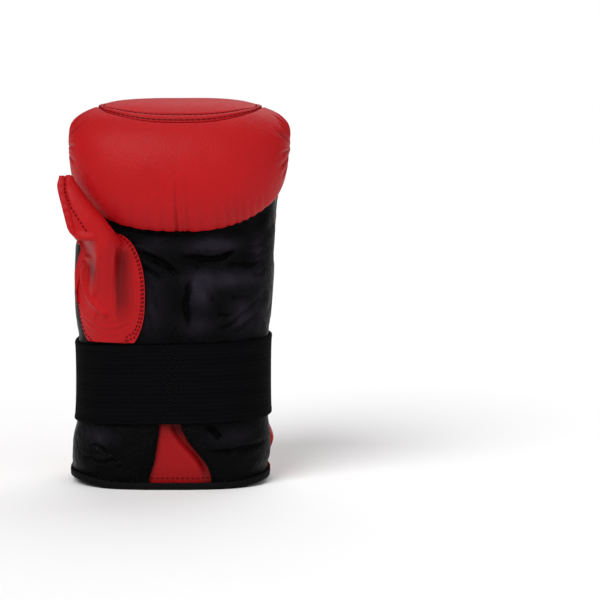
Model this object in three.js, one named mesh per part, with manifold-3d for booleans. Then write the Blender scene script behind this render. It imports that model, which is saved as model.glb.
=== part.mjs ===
// Bag glove for the left hand: a padded red shell that rolls over the fingers, a black leather palm with a
// thumb sleeve, a woven wrist elastic, a closing strap and a bound hem.
// Millimetres. +Z runs from the hem to the knuckles, -Y is the palm side, -X is the thumb side.
import * as THREE from "three";
import { mergeVertices } from "three/addons/utils/BufferGeometryUtils.js";
import Module from "manifold-3d";

// Main sizes
const GLOVE_HEIGHT = 241;
const FIST_WIDTH = 140;
const GLOVE_DEPTH = 98;
const PAD_THICKNESS = 20;

// Leather, webbing and the gaps between pieces
const PALM_LEATHER = 1.5;
const GUSSET_LEATHER = 1.3;
const PANEL_LEATHER = 1.2;
const THUMB_LEATHER = 2.4;
const THUMB_EDGE_LEATHER = 1.3;
const ELASTIC_THICKNESS = 2;
const PATCH_THICKNESS = 2;
const TAB_THICKNESS = 2.6;
const SEAT_GAP = 0.35;
const SEAM_GAP = 0.5;
const LAYER_GAP = 0.5;

// Wrist band: a 50 mm elastic that leans down toward the thumb
const ELASTIC_HEIGHT = 50;
const ELASTIC_MIDDLE = 66.3;
const ELASTIC_LEAN = 1.7;
const ELASTIC_PINKY_END = 51;
const ELASTIC_THUMB_END = -33;

// Fastening on the back of the wrist
const PATCH_PINKY_END = 50.3;
const PATCH_THUMB_END = -32.3;
const PATCH_LOW = 41;
const PATCH_HIGH = 91.5;
const TAB_PINKY_END = 40;
const TAB_THUMB_END = -42;
const TAB_LOW = 33;
const TAB_HIGH = 93.5;
const TAB_SLOPE = 0.015;

// Hem
const HEM_RISE = 4.5;
const HEM_FLAT_SHARE = 0.5;
const HEM_FADE_HEIGHT = 38;
const BINDING_HEIGHT = 4.6;
const BINDING_WALL = 1;
const BINDING_FLOOR = 1.2;
const BINDING_GRIP = 4.7;
const EDGE_HEIGHT = BINDING_FLOOR + SEAT_GAP;

// Palm slit with the gusset behind it
const SLIT_TOP_HEIGHT = 89;
const GUSSET_OVERLAP = 7;
const GUSSET_FOLD_DEPTH = 3;

// Palm leather: from LEAN_SHARE of its way up it leans to the lip, which it reaches at LIP_SHARE, and its
// end is tucked in behind the lip
const TUCK_DEPTH = 12.1;
const LEAN_SHARE = 0.68;
const LIP_SHARE = 0.94;
const LIP_GAP = 1.2;

// Thumb opening in the palm, smaller than the sleeve's base
const THUMB_HOLE_SHARE = 0.76;

// How far the sleeve rises from the palm as it leaves it, and its distance from the wrist band
const THUMB_LIFT = 5;
const THUMB_CLEARANCE = 1;

// Raised seam on the side of the sleeve: it starts at a share of the sleeve and grows in the first steps
const WELT_START = 0.52;
const WELT_WIDTH = 3.2;
const WELT_THICKNESS = 2.4;
const WELT_EDGE = 0.6;
const WELT_FIRST_SHARE = 0.35;
const WELT_GROWTH = 0.2;
const WELT_ROUNDING = 0.4;

// Gathers where the roll is drawn in at each side, and the pucker at the middle of the lip. Both start
// and end at shares of the way along the shell, angles and the pucker's width are degrees across.
const GATHER_COUNT = 5;
const GATHER_DEPTH = 1.1;
const GATHERS = { start: 0.5, full: 0.56, fade: 0.93, end: 0.99, run: 0.46, inner: 42, outer: 66 };
const PUCKER_DEPTH = 1.8;
const PUCKER_WIDTH = 9;
const PUCKER = { start: 0.86, full: 0.97 };

// The whole glove moves by this, so that the middle of its depth is at Y = 0
const DEPTH_SHIFT = 1.2;

function table(columns, rows) {
  return rows.map((row) => Object.fromEntries(columns.map((name, i) => [name, row[i]])));
}

// Level sections from the hem to the fingers. Heights are shares of GLOVE_HEIGHT, widths and shifts of
// FIST_WIDTH, the places of the back, palm and side seam of GLOVE_DEPTH, pads of PAD_THICKNESS.
const BODY = table(
  ["height", "halfWidth", "shift", "back", "palm", "seam", "pad", "sidePad", "square"],
  [
    [0.0, 0.441, -0.027, 0.376, -0.376, 0.0, 0.2, 0.2, 2.8],
    [0.03, 0.441, -0.027, 0.378, -0.377, 0.0, 0.2, 0.2, 2.8],
    [0.062, 0.446, -0.023, 0.408, -0.383, 0.0, 0.42, 0.24, 2.8],
    [0.12, 0.443, -0.018, 0.412, -0.372, 0.0, 0.52, 0.26, 2.8],
    [0.172, 0.428, -0.013, 0.386, -0.352, 0.0, 0.45, 0.25, 2.8],
    [0.274, 0.423, -0.011, 0.372, -0.337, 0.0, 0.42, 0.25, 2.8],
    [0.382, 0.427, -0.011, 0.388, -0.342, 0.0, 0.47, 0.25, 2.8],
    [0.44, 0.439, -0.011, 0.42, -0.362, 0.0, 0.6, 0.3, 2.9],
    [0.539, 0.446, -0.005, 0.454, -0.378, -0.005, 0.75, 0.33, 3.0],
    [0.643, 0.446, 0.002, 0.469, -0.374, -0.01, 0.82, 0.35, 3.0],
    [0.734, 0.453, 0.006, 0.472, -0.35, -0.014, 0.86, 0.35, 3.0],
  ],
);

// The shell goes on from there over the knuckles, down the front and in at the lip. Middle and seam
// places are shares of GLOVE_DEPTH and GLOVE_HEIGHT.
const ROLL = table(
  ["back", "height", "seam", "seamHeight", "halfWidth", "shift", "pad", "sidePad", "square"],
  [
    [0.468, 0.785, -0.018, 0.773, 0.463, 0.012, 0.88, 0.35, 3.0],
    [0.446, 0.844, -0.022, 0.816, 0.479, 0.021, 0.9, 0.34, 3.05],
    [0.392, 0.9, -0.026, 0.85, 0.489, 0.022, 0.93, 0.33, 3.1],
    [0.3, 0.948, -0.03, 0.87, 0.493, 0.021, 0.96, 0.32, 3.1],
    [0.167, 0.984, -0.036, 0.883, 0.494, 0.021, 0.98, 0.31, 3.1],
    [0.02, 1.0, -0.042, 0.888, 0.494, 0.021, 0.98, 0.3, 3.0],
    [-0.133, 0.994, -0.047, 0.888, 0.494, 0.021, 0.95, 0.3, 2.9],
    [-0.272, 0.972, -0.051, 0.886, 0.494, 0.021, 0.9, 0.3, 2.75],
    [-0.392, 0.934, -0.055, 0.881, 0.494, 0.021, 0.85, 0.3, 2.6],
    [-0.474, 0.882, -0.058, 0.875, 0.493, 0.021, 0.8, 0.29, 2.5],
    [-0.518, 0.822, -0.06, 0.867, 0.491, 0.021, 0.72, 0.28, 2.45],
    [-0.522, 0.763, -0.06, 0.859, 0.489, 0.021, 0.64, 0.27, 2.4],
    [-0.49, 0.712, -0.06, 0.852, 0.486, 0.021, 0.54, 0.25, 2.35],
    [-0.432, 0.678, -0.06, 0.847, 0.482, 0.021, 0.4, 0.22, 2.35],
    [-0.372, 0.676, -0.06, 0.845, 0.477, 0.021, 0.25, 0.2, 2.35],
  ],
);

// Thumb sleeve, from its base on the palm to its tip. Each section spans a front and a rear point and
// a left and a right side. Depths are shares of GLOVE_DEPTH, heights of GLOVE_HEIGHT, sides of FIST_WIDTH.
// Free is how far the section has left the surface of the palm.
const THUMB = table(
  ["front", "frontHeight", "rear", "rearHeight", "left", "right", "free"],
  [
    [-0.36, 0.35, -0.36, 0.672, -0.436, -0.122, 0.0],
    [-0.392, 0.402, -0.394, 0.674, -0.44, -0.142, 0.06],
    [-0.428, 0.466, -0.416, 0.677, -0.44, -0.172, 0.24],
    [-0.468, 0.537, -0.424, 0.682, -0.436, -0.204, 0.5],
    [-0.5, 0.596, -0.42, 0.69, -0.43, -0.23, 0.8],
    [-0.514, 0.646, -0.41, 0.703, -0.432, -0.262, 1.0],
    [-0.514, 0.693, -0.392, 0.722, -0.446, -0.298, 1.0],
    [-0.492, 0.739, -0.366, 0.755, -0.464, -0.354, 1.0],
    [-0.446, 0.78, -0.332, 0.785, -0.482, -0.402, 1.0],
    [-0.392, 0.806, -0.32, 0.808, -0.486, -0.434, 1.0],
  ],
);
const THUMB_TIP = { depth: -0.356, height: 0.82, side: -0.46 };
const THUMB_SQUARE = 2.3;
const THUMB_SHARES = { lifted: 0.4, dentStart: 0.1, dentFull: 0.25, fullLeather: 0.2 };
const THUMB_DENT = { side: -0.375, height: 0.545, halfWidth: 0.045, halfHeight: 0.05, depth: 3.2 };

// Main folds of the soft palm. Ends are shares of FIST_WIDTH and GLOVE_HEIGHT, depth and width in mm.
const PALM_FOLDS = table(
  ["sideA", "heightA", "sideB", "heightB", "depth", "width"],
  [
    [-0.16, 0.612, 0.03, 0.553, 1.7, 3.4],
    [0.03, 0.607, 0.265, 0.613, 2.2, 4.0],
    [0.26, 0.585, 0.39, 0.595, 1.2, 3.2],
    [0.08, 0.553, 0.06, 0.415, 1.6, 3.6],
    [-0.365, 0.098, -0.25, 0.094, 1.1, 3.0],
    [0.2, 0.094, 0.4, 0.108, 1.4, 3.4],
  ],
);

// Edges of the slit from its top down to the hem, shares of GLOVE_HEIGHT and FIST_WIDTH
const SLIT = table(
  ["height", "left", "right"],
  [
    [0.33, -0.03, 0.032],
    [0.17, -0.066, 0.026],
    [0.128, -0.074, 0.058],
    [0.094, -0.083, 0.105],
    [0.062, -0.095, 0.145],
    [0.03, -0.112, 0.162],
    [-0.01, -0.117, 0.162],
  ],
);

// Sides of the knuckle panel and its ends: on the back above the strap, and in front below the top
const PANEL = {
  lowHeight: 108,
  lowBow: 3.5,
  frontPlace: 0.79,
  frontBow: 0.062,
  pinkyLow: 49,
  pinkyHigh: 55,
  thumbLow: -42,
  thumbHigh: -48,
  sideRun: 1.6,
  flatShare: 0.35,
};

// Fold of the gusset: its middle and width as shares across, and the heights between which it is deep
const GUSSET_FOLD = { middle: 0.56, width: 0.2, low: 4, lowFull: 20, highFull: 36, high: 48 };

// How many steps each surface is built with
const STEPS = {
  shellBack: 15,
  shellFront: 27,
  shellAcross: 20,
  panelLow: 4,
  panelHigh: 18,
  panelAcross: 13,
  palmUp: 25,
  palmAcross: 20,
  holeRim: 28,
  gussetUp: 12,
  gussetAcross: 8,
  thumbUp: 17,
  thumbRound: 20,
  weltUp: 16,
  bandRound: 44,
  bandUp: 3,
  strapUp: 4,
  strapAcross: 18,
  hemRound: 46,
};
const WELD_DISTANCE = 1e-4;

// Colours of the materials
const RED_LEATHER = { color: 0xb01c22, roughness: 0.42, metalness: 0 };
const BLACK_LEATHER = { color: 0x17171b, roughness: 0.38, metalness: 0 };
const BLACK_WEBBING = { color: 0x0a0a0c, roughness: 0.92, metalness: 0 };
const BLACK_BINDING = { color: 0x1c1a1b, roughness: 0.6, metalness: 0 };

// Short helpers
const mix = (a, b, share) => a + (b - a) * share;
const clamp = (value, low, high) => Math.min(high, Math.max(low, value));
const FULL_TURN = 360;
const radians = (degrees) => (degrees * 2 * Math.PI) / FULL_TURN;
const degrees = (angle) => (angle * FULL_TURN) / (2 * Math.PI);
const power = (value, exponent) => Math.sign(value) * Math.abs(value) ** exponent;

function smooth(value, low, high) {
  const share = clamp((value - low) / (high - low), 0, 1);
  return share * share * (3 - 2 * share);
}

function steps(low, high, count) {
  return Array.from({ length: count + 1 }, (_, i) => mix(low, high, i / count));
}

// A smooth curve through one column of a table, read at a value of its key column
function read(rows, key, column, at) {
  let i = 0;
  while (i < rows.length - 2 && at > rows[i + 1][key]) i += 1;
  const from = rows[i];
  const to = rows[i + 1];
  const before = rows[i - 1] ?? from;
  const after = rows[i + 2] ?? to;
  const span = to[key] - from[key];
  const share = clamp((at - from[key]) / span, 0, 1);
  const slopeIn = ((to[column] - before[column]) / (to[key] - before[key])) * span;
  const slopeOut = ((after[column] - from[column]) / (after[key] - from[key])) * span;
  const square = share * share;
  const cube = square * share;
  return (
    (2 * cube - 3 * square + 1) * from[column] +
    (cube - 2 * square + share) * slopeIn +
    (3 * square - 2 * cube) * to[column] +
    (cube - square) * slopeOut
  );
}

// The shell's rows in millimetres, each with its place along the middle line from 0 at the hem to 1
const SHELL = [...BODY, ...ROLL].map((row) => ({
  y: row.back * GLOVE_DEPTH,
  z: row.height * GLOVE_HEIGHT,
  seamY: row.seam * GLOVE_DEPTH,
  seamZ: (row.seamHeight ?? row.height) * GLOVE_HEIGHT,
  halfWidth: row.halfWidth * FIST_WIDTH,
  shift: row.shift * FIST_WIDTH,
  pad: row.pad * PAD_THICKNESS,
  sidePad: row.sidePad * PAD_THICKNESS,
  square: row.square,
}));
let shellLength = 0;
SHELL.forEach((row, i) => {
  if (i > 0) shellLength += Math.hypot(row.y - SHELL[i - 1].y, row.z - SHELL[i - 1].z);
  row.place = shellLength;
});
SHELL.forEach((row) => {
  row.place /= shellLength;
});
const TUCK_PLACE = 1 - TUCK_DEPTH / shellLength;

// The sides of the hem curve up from the ground, less and less toward the wrist
function liftHem(x, height) {
  const edge = smooth(Math.abs(x) / (0.5 * FIST_WIDTH), HEM_FLAT_SHARE, 1);
  return height + HEM_RISE * edge * (1 - smooth(height, 0, HEM_FADE_HEIGHT));
}

// A point of the glove, moved to its place in depth
function point(x, y, z) {
  return new THREE.Vector3(x, y + DEPTH_SHIFT, z);
}

// The shell's surface: across is -90 to 90 degrees from the thumb side to the little finger side, out is
// the distance outward from the red leather, or inward when it is negative.
function shellPoint(place, across, out, outSide = out) {
  const at = (column) => read(SHELL, "place", column, clamp(place, 0, 1));
  const nudge = 0.002;
  const ahead = clamp(place + nudge, 0, 1);
  const behind = clamp(place - nudge, 0, 1);
  const alongY = read(SHELL, "place", "y", ahead) - read(SHELL, "place", "y", behind);
  const alongZ = read(SHELL, "place", "z", ahead) - read(SHELL, "place", "z", behind);
  const length = Math.hypot(alongY, alongZ);
  const gather = shellGather(place, across);
  const exponent = 2 / at("square");
  const side = power(Math.sin(radians(across)), exponent);
  const middle = Math.abs(Math.cos(radians(across))) ** exponent;
  const middleY = at("y") + ((out - gather) * alongZ) / length;
  const middleZ = at("z") - ((out - gather) * alongY) / length;
  const x = at("shift") + (at("halfWidth") + outSide) * side;
  const y = mix(at("seamY"), middleY, middle);
  const z = mix(at("seamZ"), middleZ, middle);
  return point(x, y, liftHem(x, z));
}

// How deep the leather is drawn in by the side gathers and by the pucker of the lip
function shellGather(place, across) {
  const starts = smooth(place, GATHERS.start, GATHERS.full);
  const ends = smooth(place, GATHERS.fade, GATHERS.end);
  const nearSide = smooth(Math.abs(across), GATHERS.inner, GATHERS.outer);
  const share = (place - GATHERS.start) / GATHERS.run;
  const wave = 0.5 - 0.5 * Math.cos(share * GATHER_COUNT * 2 * Math.PI);
  const pucker = Math.exp(-((across / PUCKER_WIDTH) ** 2)) * smooth(place, PUCKER.start, PUCKER.full);
  return GATHER_DEPTH * starts * (1 - ends) * nearSide * wave + PUCKER_DEPTH * pucker;
}

function shellPad(place, column) {
  return read(SHELL, "place", column, place);
}

// The angle across at which the shell reaches a given x
function acrossAt(rows, key, place, x) {
  const reach = (x - read(rows, key, "shift", place)) / read(rows, key, "halfWidth", place);
  const sine = power(clamp(reach, -1, 1), read(rows, key, "square", place) / 2);
  return degrees(Math.asin(sine));
}

// The level sections in millimetres, for the palm, the wrist band and the binding
const LEVEL = BODY.map((row) => ({
  z: row.height * GLOVE_HEIGHT,
  halfWidth: row.halfWidth * FIST_WIDTH,
  shift: row.shift * FIST_WIDTH,
  back: row.back * GLOVE_DEPTH,
  palm: row.palm * GLOVE_DEPTH,
  seam: row.seam * GLOVE_DEPTH,
  square: row.square,
}));

// The outline of the body at a height: round is 0 at the middle of the back, 90 at the little finger
// side, 180 at the middle of the palm and -90 at the thumb side.
function bodyPoint(height, round, out, seamGap = 0) {
  const at = (column) => read(LEVEL, "z", column, height);
  const exponent = 2 / at("square");
  const side = power(Math.sin(radians(round)), exponent);
  const cosine = Math.cos(radians(round));
  const middle = Math.abs(cosine) ** exponent;
  const onPalm = cosine < 1e-9;
  const seam = at("seam") - (onPalm ? seamGap : 0);
  const face = onPalm ? at("palm") - out : at("back") + out;
  const x = at("shift") + (at("halfWidth") + out) * side;
  return point(x, mix(seam, face, middle), liftHem(x, height));
}

// How deep the palm's folds are at a place
function foldDepth(x, z) {
  let depth = 0;
  for (const fold of PALM_FOLDS) {
    const ax = fold.sideA * FIST_WIDTH;
    const az = fold.heightA * GLOVE_HEIGHT;
    const bx = fold.sideB * FIST_WIDTH;
    const bz = fold.heightB * GLOVE_HEIGHT;
    const along = ((x - ax) * (bx - ax) + (z - az) * (bz - az)) / ((bx - ax) ** 2 + (bz - az) ** 2);
    const share = clamp(along, 0, 1);
    const off = Math.hypot(x - mix(ax, bx, share), z - mix(az, bz, share));
    depth += fold.depth * Math.exp(-((off / fold.width) ** 2));
  }
  return depth;
}

// The palm's surface: up is 0 at the hem and 1 at its edge behind the lip, across is -90 to 90 degrees
function palmPoint(up, across, out) {
  const innerSide = -shellPad(TUCK_PLACE, "sidePad") - SEAT_GAP + out;
  const tucked = shellPoint(TUCK_PLACE, across, -shellPad(TUCK_PLACE, "pad") - SEAT_GAP + out, innerSide);
  const lip = shellPoint(1, across, 0, innerSide);
  lip.y += LIP_GAP - out * Math.cos(radians(across));
  const height = mix(EDGE_HEIGHT, lip.z, Math.min(1, up / LIP_SHARE));
  const level = clamp(height, 0, LEVEL.at(-1).z);
  const flat = bodyPoint(level, 180 - across, out, SEAM_GAP);
  const folded = bodyPoint(level, 180 - across, out - foldDepth(flat.x, level), SEAM_GAP);
  folded.z += height - level;
  folded.lerp(lip, smooth(up, LEAN_SHARE, LIP_SHARE));
  return folded.lerp(tucked, clamp((up - LIP_SHARE) / (1 - LIP_SHARE), 0, 1));
}

// Builds a closed sheet from an outer and an inner grid of points with the same rows and columns
function slab(outer, inner) {
  const rows = outer.length;
  const columns = outer[0].length;
  const positions = [];
  for (const grid of [outer, inner]) {
    for (const row of grid) {
      for (const p of row) positions.push(p.x, p.y, p.z);
    }
  }
  const id = (layer, r, c) => layer * rows * columns + r * columns + c;
  const faces = [];
  const quad = (a, b, c, d) => faces.push(a, b, c, a, c, d);
  for (let r = 0; r < rows - 1; r += 1) {
    for (let c = 0; c < columns - 1; c += 1) {
      quad(id(0, r, c), id(0, r, c + 1), id(0, r + 1, c + 1), id(0, r + 1, c));
      quad(id(1, r, c), id(1, r + 1, c), id(1, r + 1, c + 1), id(1, r, c + 1));
    }
  }
  const wall = (r0, c0, r1, c1) => quad(id(0, r0, c0), id(1, r0, c0), id(1, r1, c1), id(0, r1, c1));
  for (let c = 0; c < columns - 1; c += 1) {
    wall(0, c, 0, c + 1);
    wall(rows - 1, c + 1, rows - 1, c);
  }
  for (let r = 0; r < rows - 1; r += 1) {
    wall(r + 1, 0, r, 0);
    wall(r, columns - 1, r + 1, columns - 1);
  }
  return geometry(positions, faces);
}

// Builds a closed ring or rod from a list of sections that are each a closed loop of points
function sweep(sections, ring) {
  const size = sections[0].length;
  const positions = sections.flat().flatMap((p) => [p.x, p.y, p.z]);
  const faces = [];
  const count = ring ? sections.length : sections.length - 1;
  for (let i = 0; i < count; i += 1) {
    const next = (i + 1) % sections.length;
    for (let j = 0; j < size; j += 1) {
      const k = (j + 1) % size;
      const a = i * size + j;
      const b = i * size + k;
      const c = next * size + k;
      const d = next * size + j;
      faces.push(a, b, c, a, c, d);
    }
  }
  if (!ring) {
    const last = (sections.length - 1) * size;
    for (let j = 1; j < size - 1; j += 1) {
      faces.push(0, j + 1, j);
      faces.push(last, last + j, last + j + 1);
    }
  }
  return geometry(positions, faces);
}

function geometry(positions, faces) {
  const made = new THREE.BufferGeometry();
  made.setAttribute("position", new THREE.Float32BufferAttribute(positions, 3));
  made.setIndex(faces);
  return mergeVertices(made, WELD_DISTANCE);
}

// Solids, for cutting openings and for turning faces outward
const wasm = await Module();
wasm.setup();

function solidOf(shape) {
  const welded = mergeVertices(shape, WELD_DISTANCE);
  const vertProperties = new Float32Array(welded.getAttribute("position").array);
  const triVerts = new Uint32Array(welded.index.array);
  const solid = new wasm.Manifold(new wasm.Mesh({ numProp: 3, vertProperties, triVerts }));
  if (solid.volume() > 0) return solid;
  for (let i = 0; i < triVerts.length; i += 3) {
    [triVerts[i + 1], triVerts[i + 2]] = [triVerts[i + 2], triVerts[i + 1]];
  }
  return new wasm.Manifold(new wasm.Mesh({ numProp: 3, vertProperties, triVerts }));
}

function shapeOf(solid) {
  const mesh = solid.getMesh();
  const positions = [];
  for (let i = 0; i < mesh.numVert; i += 1) {
    const start = i * mesh.numProp;
    positions.push(...mesh.vertProperties.subarray(start, start + 3));
  }
  return geometry(positions, Array.from(mesh.triVerts));
}

// A cutter that goes through the palm along Y, from an outline in X and Z
function cutter(outline) {
  const shape = new THREE.Shape(outline.map(([x, z]) => new THREE.Vector2(x, z)));
  const made = new THREE.ExtrudeGeometry(shape, { depth: GLOVE_DEPTH, bevelEnabled: false });
  made.deleteAttribute("normal");
  made.deleteAttribute("uv");
  made.rotateX(Math.PI / 2);
  return made;
}

// The padded shell
const HEM_ROW = 0.016;
const SHELL_PLACES = [
  0,
  HEM_ROW,
  ...steps(0, 0.5, STEPS.shellBack).slice(1),
  ...steps(0.5, 1, STEPS.shellFront).slice(1),
];
const SHELL_ACROSS = steps(-90, 90, STEPS.shellAcross);

function backPad() {
  const start = EDGE_HEIGHT / shellLength;
  const places = SHELL_PLACES.map((place) => mix(start, 1, place));
  const grid = (inset) =>
    places.map((place) =>
      SHELL_ACROSS.map((across) =>
        shellPoint(place, across, -inset * shellPad(place, "pad"), -inset * shellPad(place, "sidePad")),
      ),
    );
  return slab(grid(0), grid(1));
}

// The leather overlay on the back and over the knuckles
function knucklePanel() {
  const side = (low, high, up) => mix(low, high, Math.min(1, up * PANEL.sideRun));
  const rows = [
    ...steps(0, PANEL.flatShare, STEPS.panelLow),
    ...steps(PANEL.flatShare, 1, STEPS.panelHigh).slice(1),
  ];
  const grid = (out) =>
    rows.map((up) =>
      steps(0, 1, STEPS.panelAcross).map((over) => {
        const bow = (2 * over - 1) ** 2;
        const low = (PANEL.lowHeight - PANEL.lowBow * (1 - bow)) / shellLength;
        const place = mix(low, PANEL.frontPlace - PANEL.frontBow * bow, up);
        const thumbSide = acrossAt(SHELL, "place", place, side(PANEL.thumbLow, PANEL.thumbHigh, up));
        const pinkySide = acrossAt(SHELL, "place", place, side(PANEL.pinkyLow, PANEL.pinkyHigh, up));
        return shellPoint(place, mix(thumbSide, pinkySide, over), out);
      }),
    );
  return slab(grid(SEAT_GAP + PANEL_LEATHER), grid(SEAT_GAP));
}

// The palm leather with its slit and its thumb opening
const PALM_ROWS = [...steps(0, LIP_SHARE, STEPS.palmUp), 1];
const PALM_ACROSS = steps(-90, 90, STEPS.palmAcross);

function palm() {
  const grid = (out) => PALM_ROWS.map((up) => PALM_ACROSS.map((across) => palmPoint(up, across, out)));
  const sheet = solidOf(slab(grid(0), grid(-PALM_LEATHER)));
  const slit = [
    [0.5 * (SLIT[0].left + SLIT[0].right) * FIST_WIDTH, SLIT_TOP_HEIGHT],
    ...SLIT.map((row) => [row.right * FIST_WIDTH, row.height * GLOVE_HEIGHT]),
    ...SLIT.map((row) => [row.left * FIST_WIDTH, row.height * GLOVE_HEIGHT]).reverse(),
  ];
  const hole = steps(0, FULL_TURN, STEPS.holeRim)
    .slice(1)
    .map((round) => {
      const rim = thumbSection(0, round);
      const base = THUMB[0];
      const centreX = 0.5 * (base.left + base.right) * FIST_WIDTH;
      const centreZ = 0.5 * (base.frontHeight + base.rearHeight) * GLOVE_HEIGHT;
      return [mix(centreX, rim.x, THUMB_HOLE_SHARE), mix(centreZ, rim.z, THUMB_HOLE_SHARE)];
    });
  const cut = sheet.subtract(solidOf(cutter(slit)));
  return shapeOf(cut.subtract(solidOf(cutter(hole))));
}

// The red leather behind the slit, with one fold that sinks in
function gusset() {
  const grid = (out) =>
    steps(EDGE_HEIGHT, SLIT_TOP_HEIGHT, STEPS.gussetUp).map((height) =>
      steps(0, 1, STEPS.gussetAcross).map((over) => {
        const share = clamp(height / GLOVE_HEIGHT, SLIT.at(-1).height, SLIT[0].height);
        const edges = [...SLIT].reverse();
        const left = read(edges, "height", "left", share) * FIST_WIDTH - GUSSET_OVERLAP;
        const right = read(edges, "height", "right", share) * FIST_WIDTH + GUSSET_OVERLAP;
        const x = mix(left, right, over);
        const across = acrossAt(LEVEL, "z", height, x);
        const starts = smooth(height, GUSSET_FOLD.low, GUSSET_FOLD.lowFull);
        const ends = smooth(height, GUSSET_FOLD.highFull, GUSSET_FOLD.high);
        const off = (over - GUSSET_FOLD.middle) / GUSSET_FOLD.width;
        const fold = GUSSET_FOLD_DEPTH * starts * (1 - ends) * Math.exp(-(off ** 2));
        const sunk = fold + foldDepth(x, height);
        return bodyPoint(height, 180 - across, out - sunk, SEAM_GAP);
      }),
    );
  const seat = PALM_LEATHER + LAYER_GAP;
  return slab(grid(-seat), grid(-seat - GUSSET_LEATHER));
}

// One section of the thumb sleeve before it is fitted to the palm
function thumbSection(v, round, inset = 0) {
  const at = (column) => read(THUMB_ROWS, "v", column, v);
  const front = new THREE.Vector2(at("front") * GLOVE_DEPTH, at("frontHeight") * GLOVE_HEIGHT);
  const rear = new THREE.Vector2(at("rear") * GLOVE_DEPTH, at("rearHeight") * GLOVE_HEIGHT);
  const half = 0.5 * front.distanceTo(rear);
  const toRear = rear.clone().sub(front).normalize();
  const centre = front.clone().add(rear).multiplyScalar(0.5);
  const left = at("left") * FIST_WIDTH;
  const right = at("right") * FIST_WIDTH;
  const exponent = 2 / THUMB_SQUARE;
  const sine = power(Math.sin(radians(round)), exponent);
  const cosine = power(Math.cos(radians(round)), exponent);
  const x = 0.5 * (left + right) + (0.5 * (right - left) - inset) * sine;
  const y = centre.x - (half - inset) * cosine * toRear.x;
  const z = centre.y - (half - inset) * cosine * toRear.y;
  return new THREE.Vector3(x, y, z);
}
const THUMB_ROWS = THUMB.map((row, i) => ({ ...row, v: i / (THUMB.length - 1) }));

// The sleeve's surface: it starts as a flat rim on the palm and leaves it toward the tip
function thumbPoint(v, round, out) {
  const raw = thumbSection(v, round, -out);
  const free = read(THUMB_ROWS, "v", "free", v);
  const lift = mix(SEAT_GAP + THUMB_EDGE_LEATHER, THUMB_LIFT, smooth(v, 0, THUMB_SHARES.lifted));
  const rimZ = Math.max(raw.z, ELASTIC_MIDDLE + 0.5 * ELASTIC_HEIGHT + THUMB_CLEARANCE);
  const height = Math.min(rimZ, LEVEL.at(-1).z);
  const across = acrossAt(LEVEL, "z", height, raw.x);
  const onPalm = bodyPoint(height, 180 - across, lift + out, SEAM_GAP);
  const loose = point(raw.x, raw.y, rimZ);
  const dentX = (raw.x / FIST_WIDTH - THUMB_DENT.side) / THUMB_DENT.halfWidth;
  const dentZ = (raw.z / GLOVE_HEIGHT - THUMB_DENT.height) / THUMB_DENT.halfHeight;
  const dented = smooth(v, THUMB_SHARES.dentStart, THUMB_SHARES.dentFull);
  loose.y += THUMB_DENT.depth * Math.exp(-(dentX ** 2) - dentZ ** 2) * dented;
  return onPalm.lerp(loose, free);
}

function thumb() {
  const around = steps(0, FULL_TURN, STEPS.thumbRound).slice(1);
  const along = steps(0, 1, STEPS.thumbUp);
  const wall = (v) => mix(THUMB_EDGE_LEATHER, THUMB_LEATHER, smooth(v, 0, THUMB_SHARES.fullLeather));
  const outer = along.map((v) => around.map((round) => thumbPoint(v, round, 0)));
  const inner = along.map((v) => around.map((round) => thumbPoint(v, round, -wall(v))));
  const tip = point(
    THUMB_TIP.side * FIST_WIDTH,
    THUMB_TIP.depth * GLOVE_DEPTH,
    THUMB_TIP.height * GLOVE_HEIGHT,
  );
  const innerTip = tip.clone().add(new THREE.Vector3(0, 0, -THUMB_LEATHER));
  return capped(outer, inner, tip, innerTip);
}

// Builds a thimble: two tubes of the same rows and columns, joined at the first row and each closed by
// its own tip
function capped(outer, inner, tip, innerTip) {
  const rows = outer.length;
  const columns = outer[0].length;
  const positions = [];
  for (const p of [...outer.flat(), ...inner.flat(), tip, innerTip]) positions.push(p.x, p.y, p.z);
  const id = (layer, r, c) => layer * rows * columns + r * columns + (c % columns);
  const outerTip = 2 * rows * columns;
  const faces = [];
  for (let c = 0; c < columns; c += 1) {
    for (let r = 0; r < rows - 1; r += 1) {
      faces.push(id(0, r, c), id(0, r, c + 1), id(0, r + 1, c + 1));
      faces.push(id(0, r, c), id(0, r + 1, c + 1), id(0, r + 1, c));
      faces.push(id(1, r, c), id(1, r + 1, c + 1), id(1, r, c + 1));
      faces.push(id(1, r, c), id(1, r + 1, c), id(1, r + 1, c + 1));
    }
    faces.push(id(0, rows - 1, c), id(0, rows - 1, c + 1), outerTip);
    faces.push(id(1, rows - 1, c), outerTip + 1, id(1, rows - 1, c + 1));
    faces.push(id(0, 0, c), id(1, 0, c), id(1, 0, c + 1));
    faces.push(id(0, 0, c), id(1, 0, c + 1), id(0, 0, c + 1));
  }
  return geometry(positions, faces);
}

// The raised seam along the outer side of the sleeve and over its tip
function thumbWelt() {
  const sideRound = -90;
  const path = steps(WELT_START, 1, STEPS.weltUp).map((v) => thumbPoint(v, sideRound, 0));
  const sections = path.map((p, i) => {
    const grown = Math.min(1, WELT_FIRST_SHARE + i * WELT_GROWTH);
    const half = 0.5 * WELT_THICKNESS;
    const round = WELT_ROUNDING * half;
    const inX = p.x - SEAT_GAP;
    const outX = inX - WELT_WIDTH * grown;
    return [
      new THREE.Vector3(inX, p.y - half, p.z),
      new THREE.Vector3(outX + WELT_EDGE, p.y - half, p.z),
      new THREE.Vector3(outX, p.y - round, p.z),
      new THREE.Vector3(outX, p.y + round, p.z),
      new THREE.Vector3(outX + WELT_EDGE, p.y + half, p.z),
      new THREE.Vector3(inX, p.y + half, p.z),
    ];
  });
  return sweep(sections, false);
}

// The round angle at which the body reaches x on its back
function backRound(height, x) {
  return acrossAt(LEVEL, "z", height, x);
}

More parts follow.
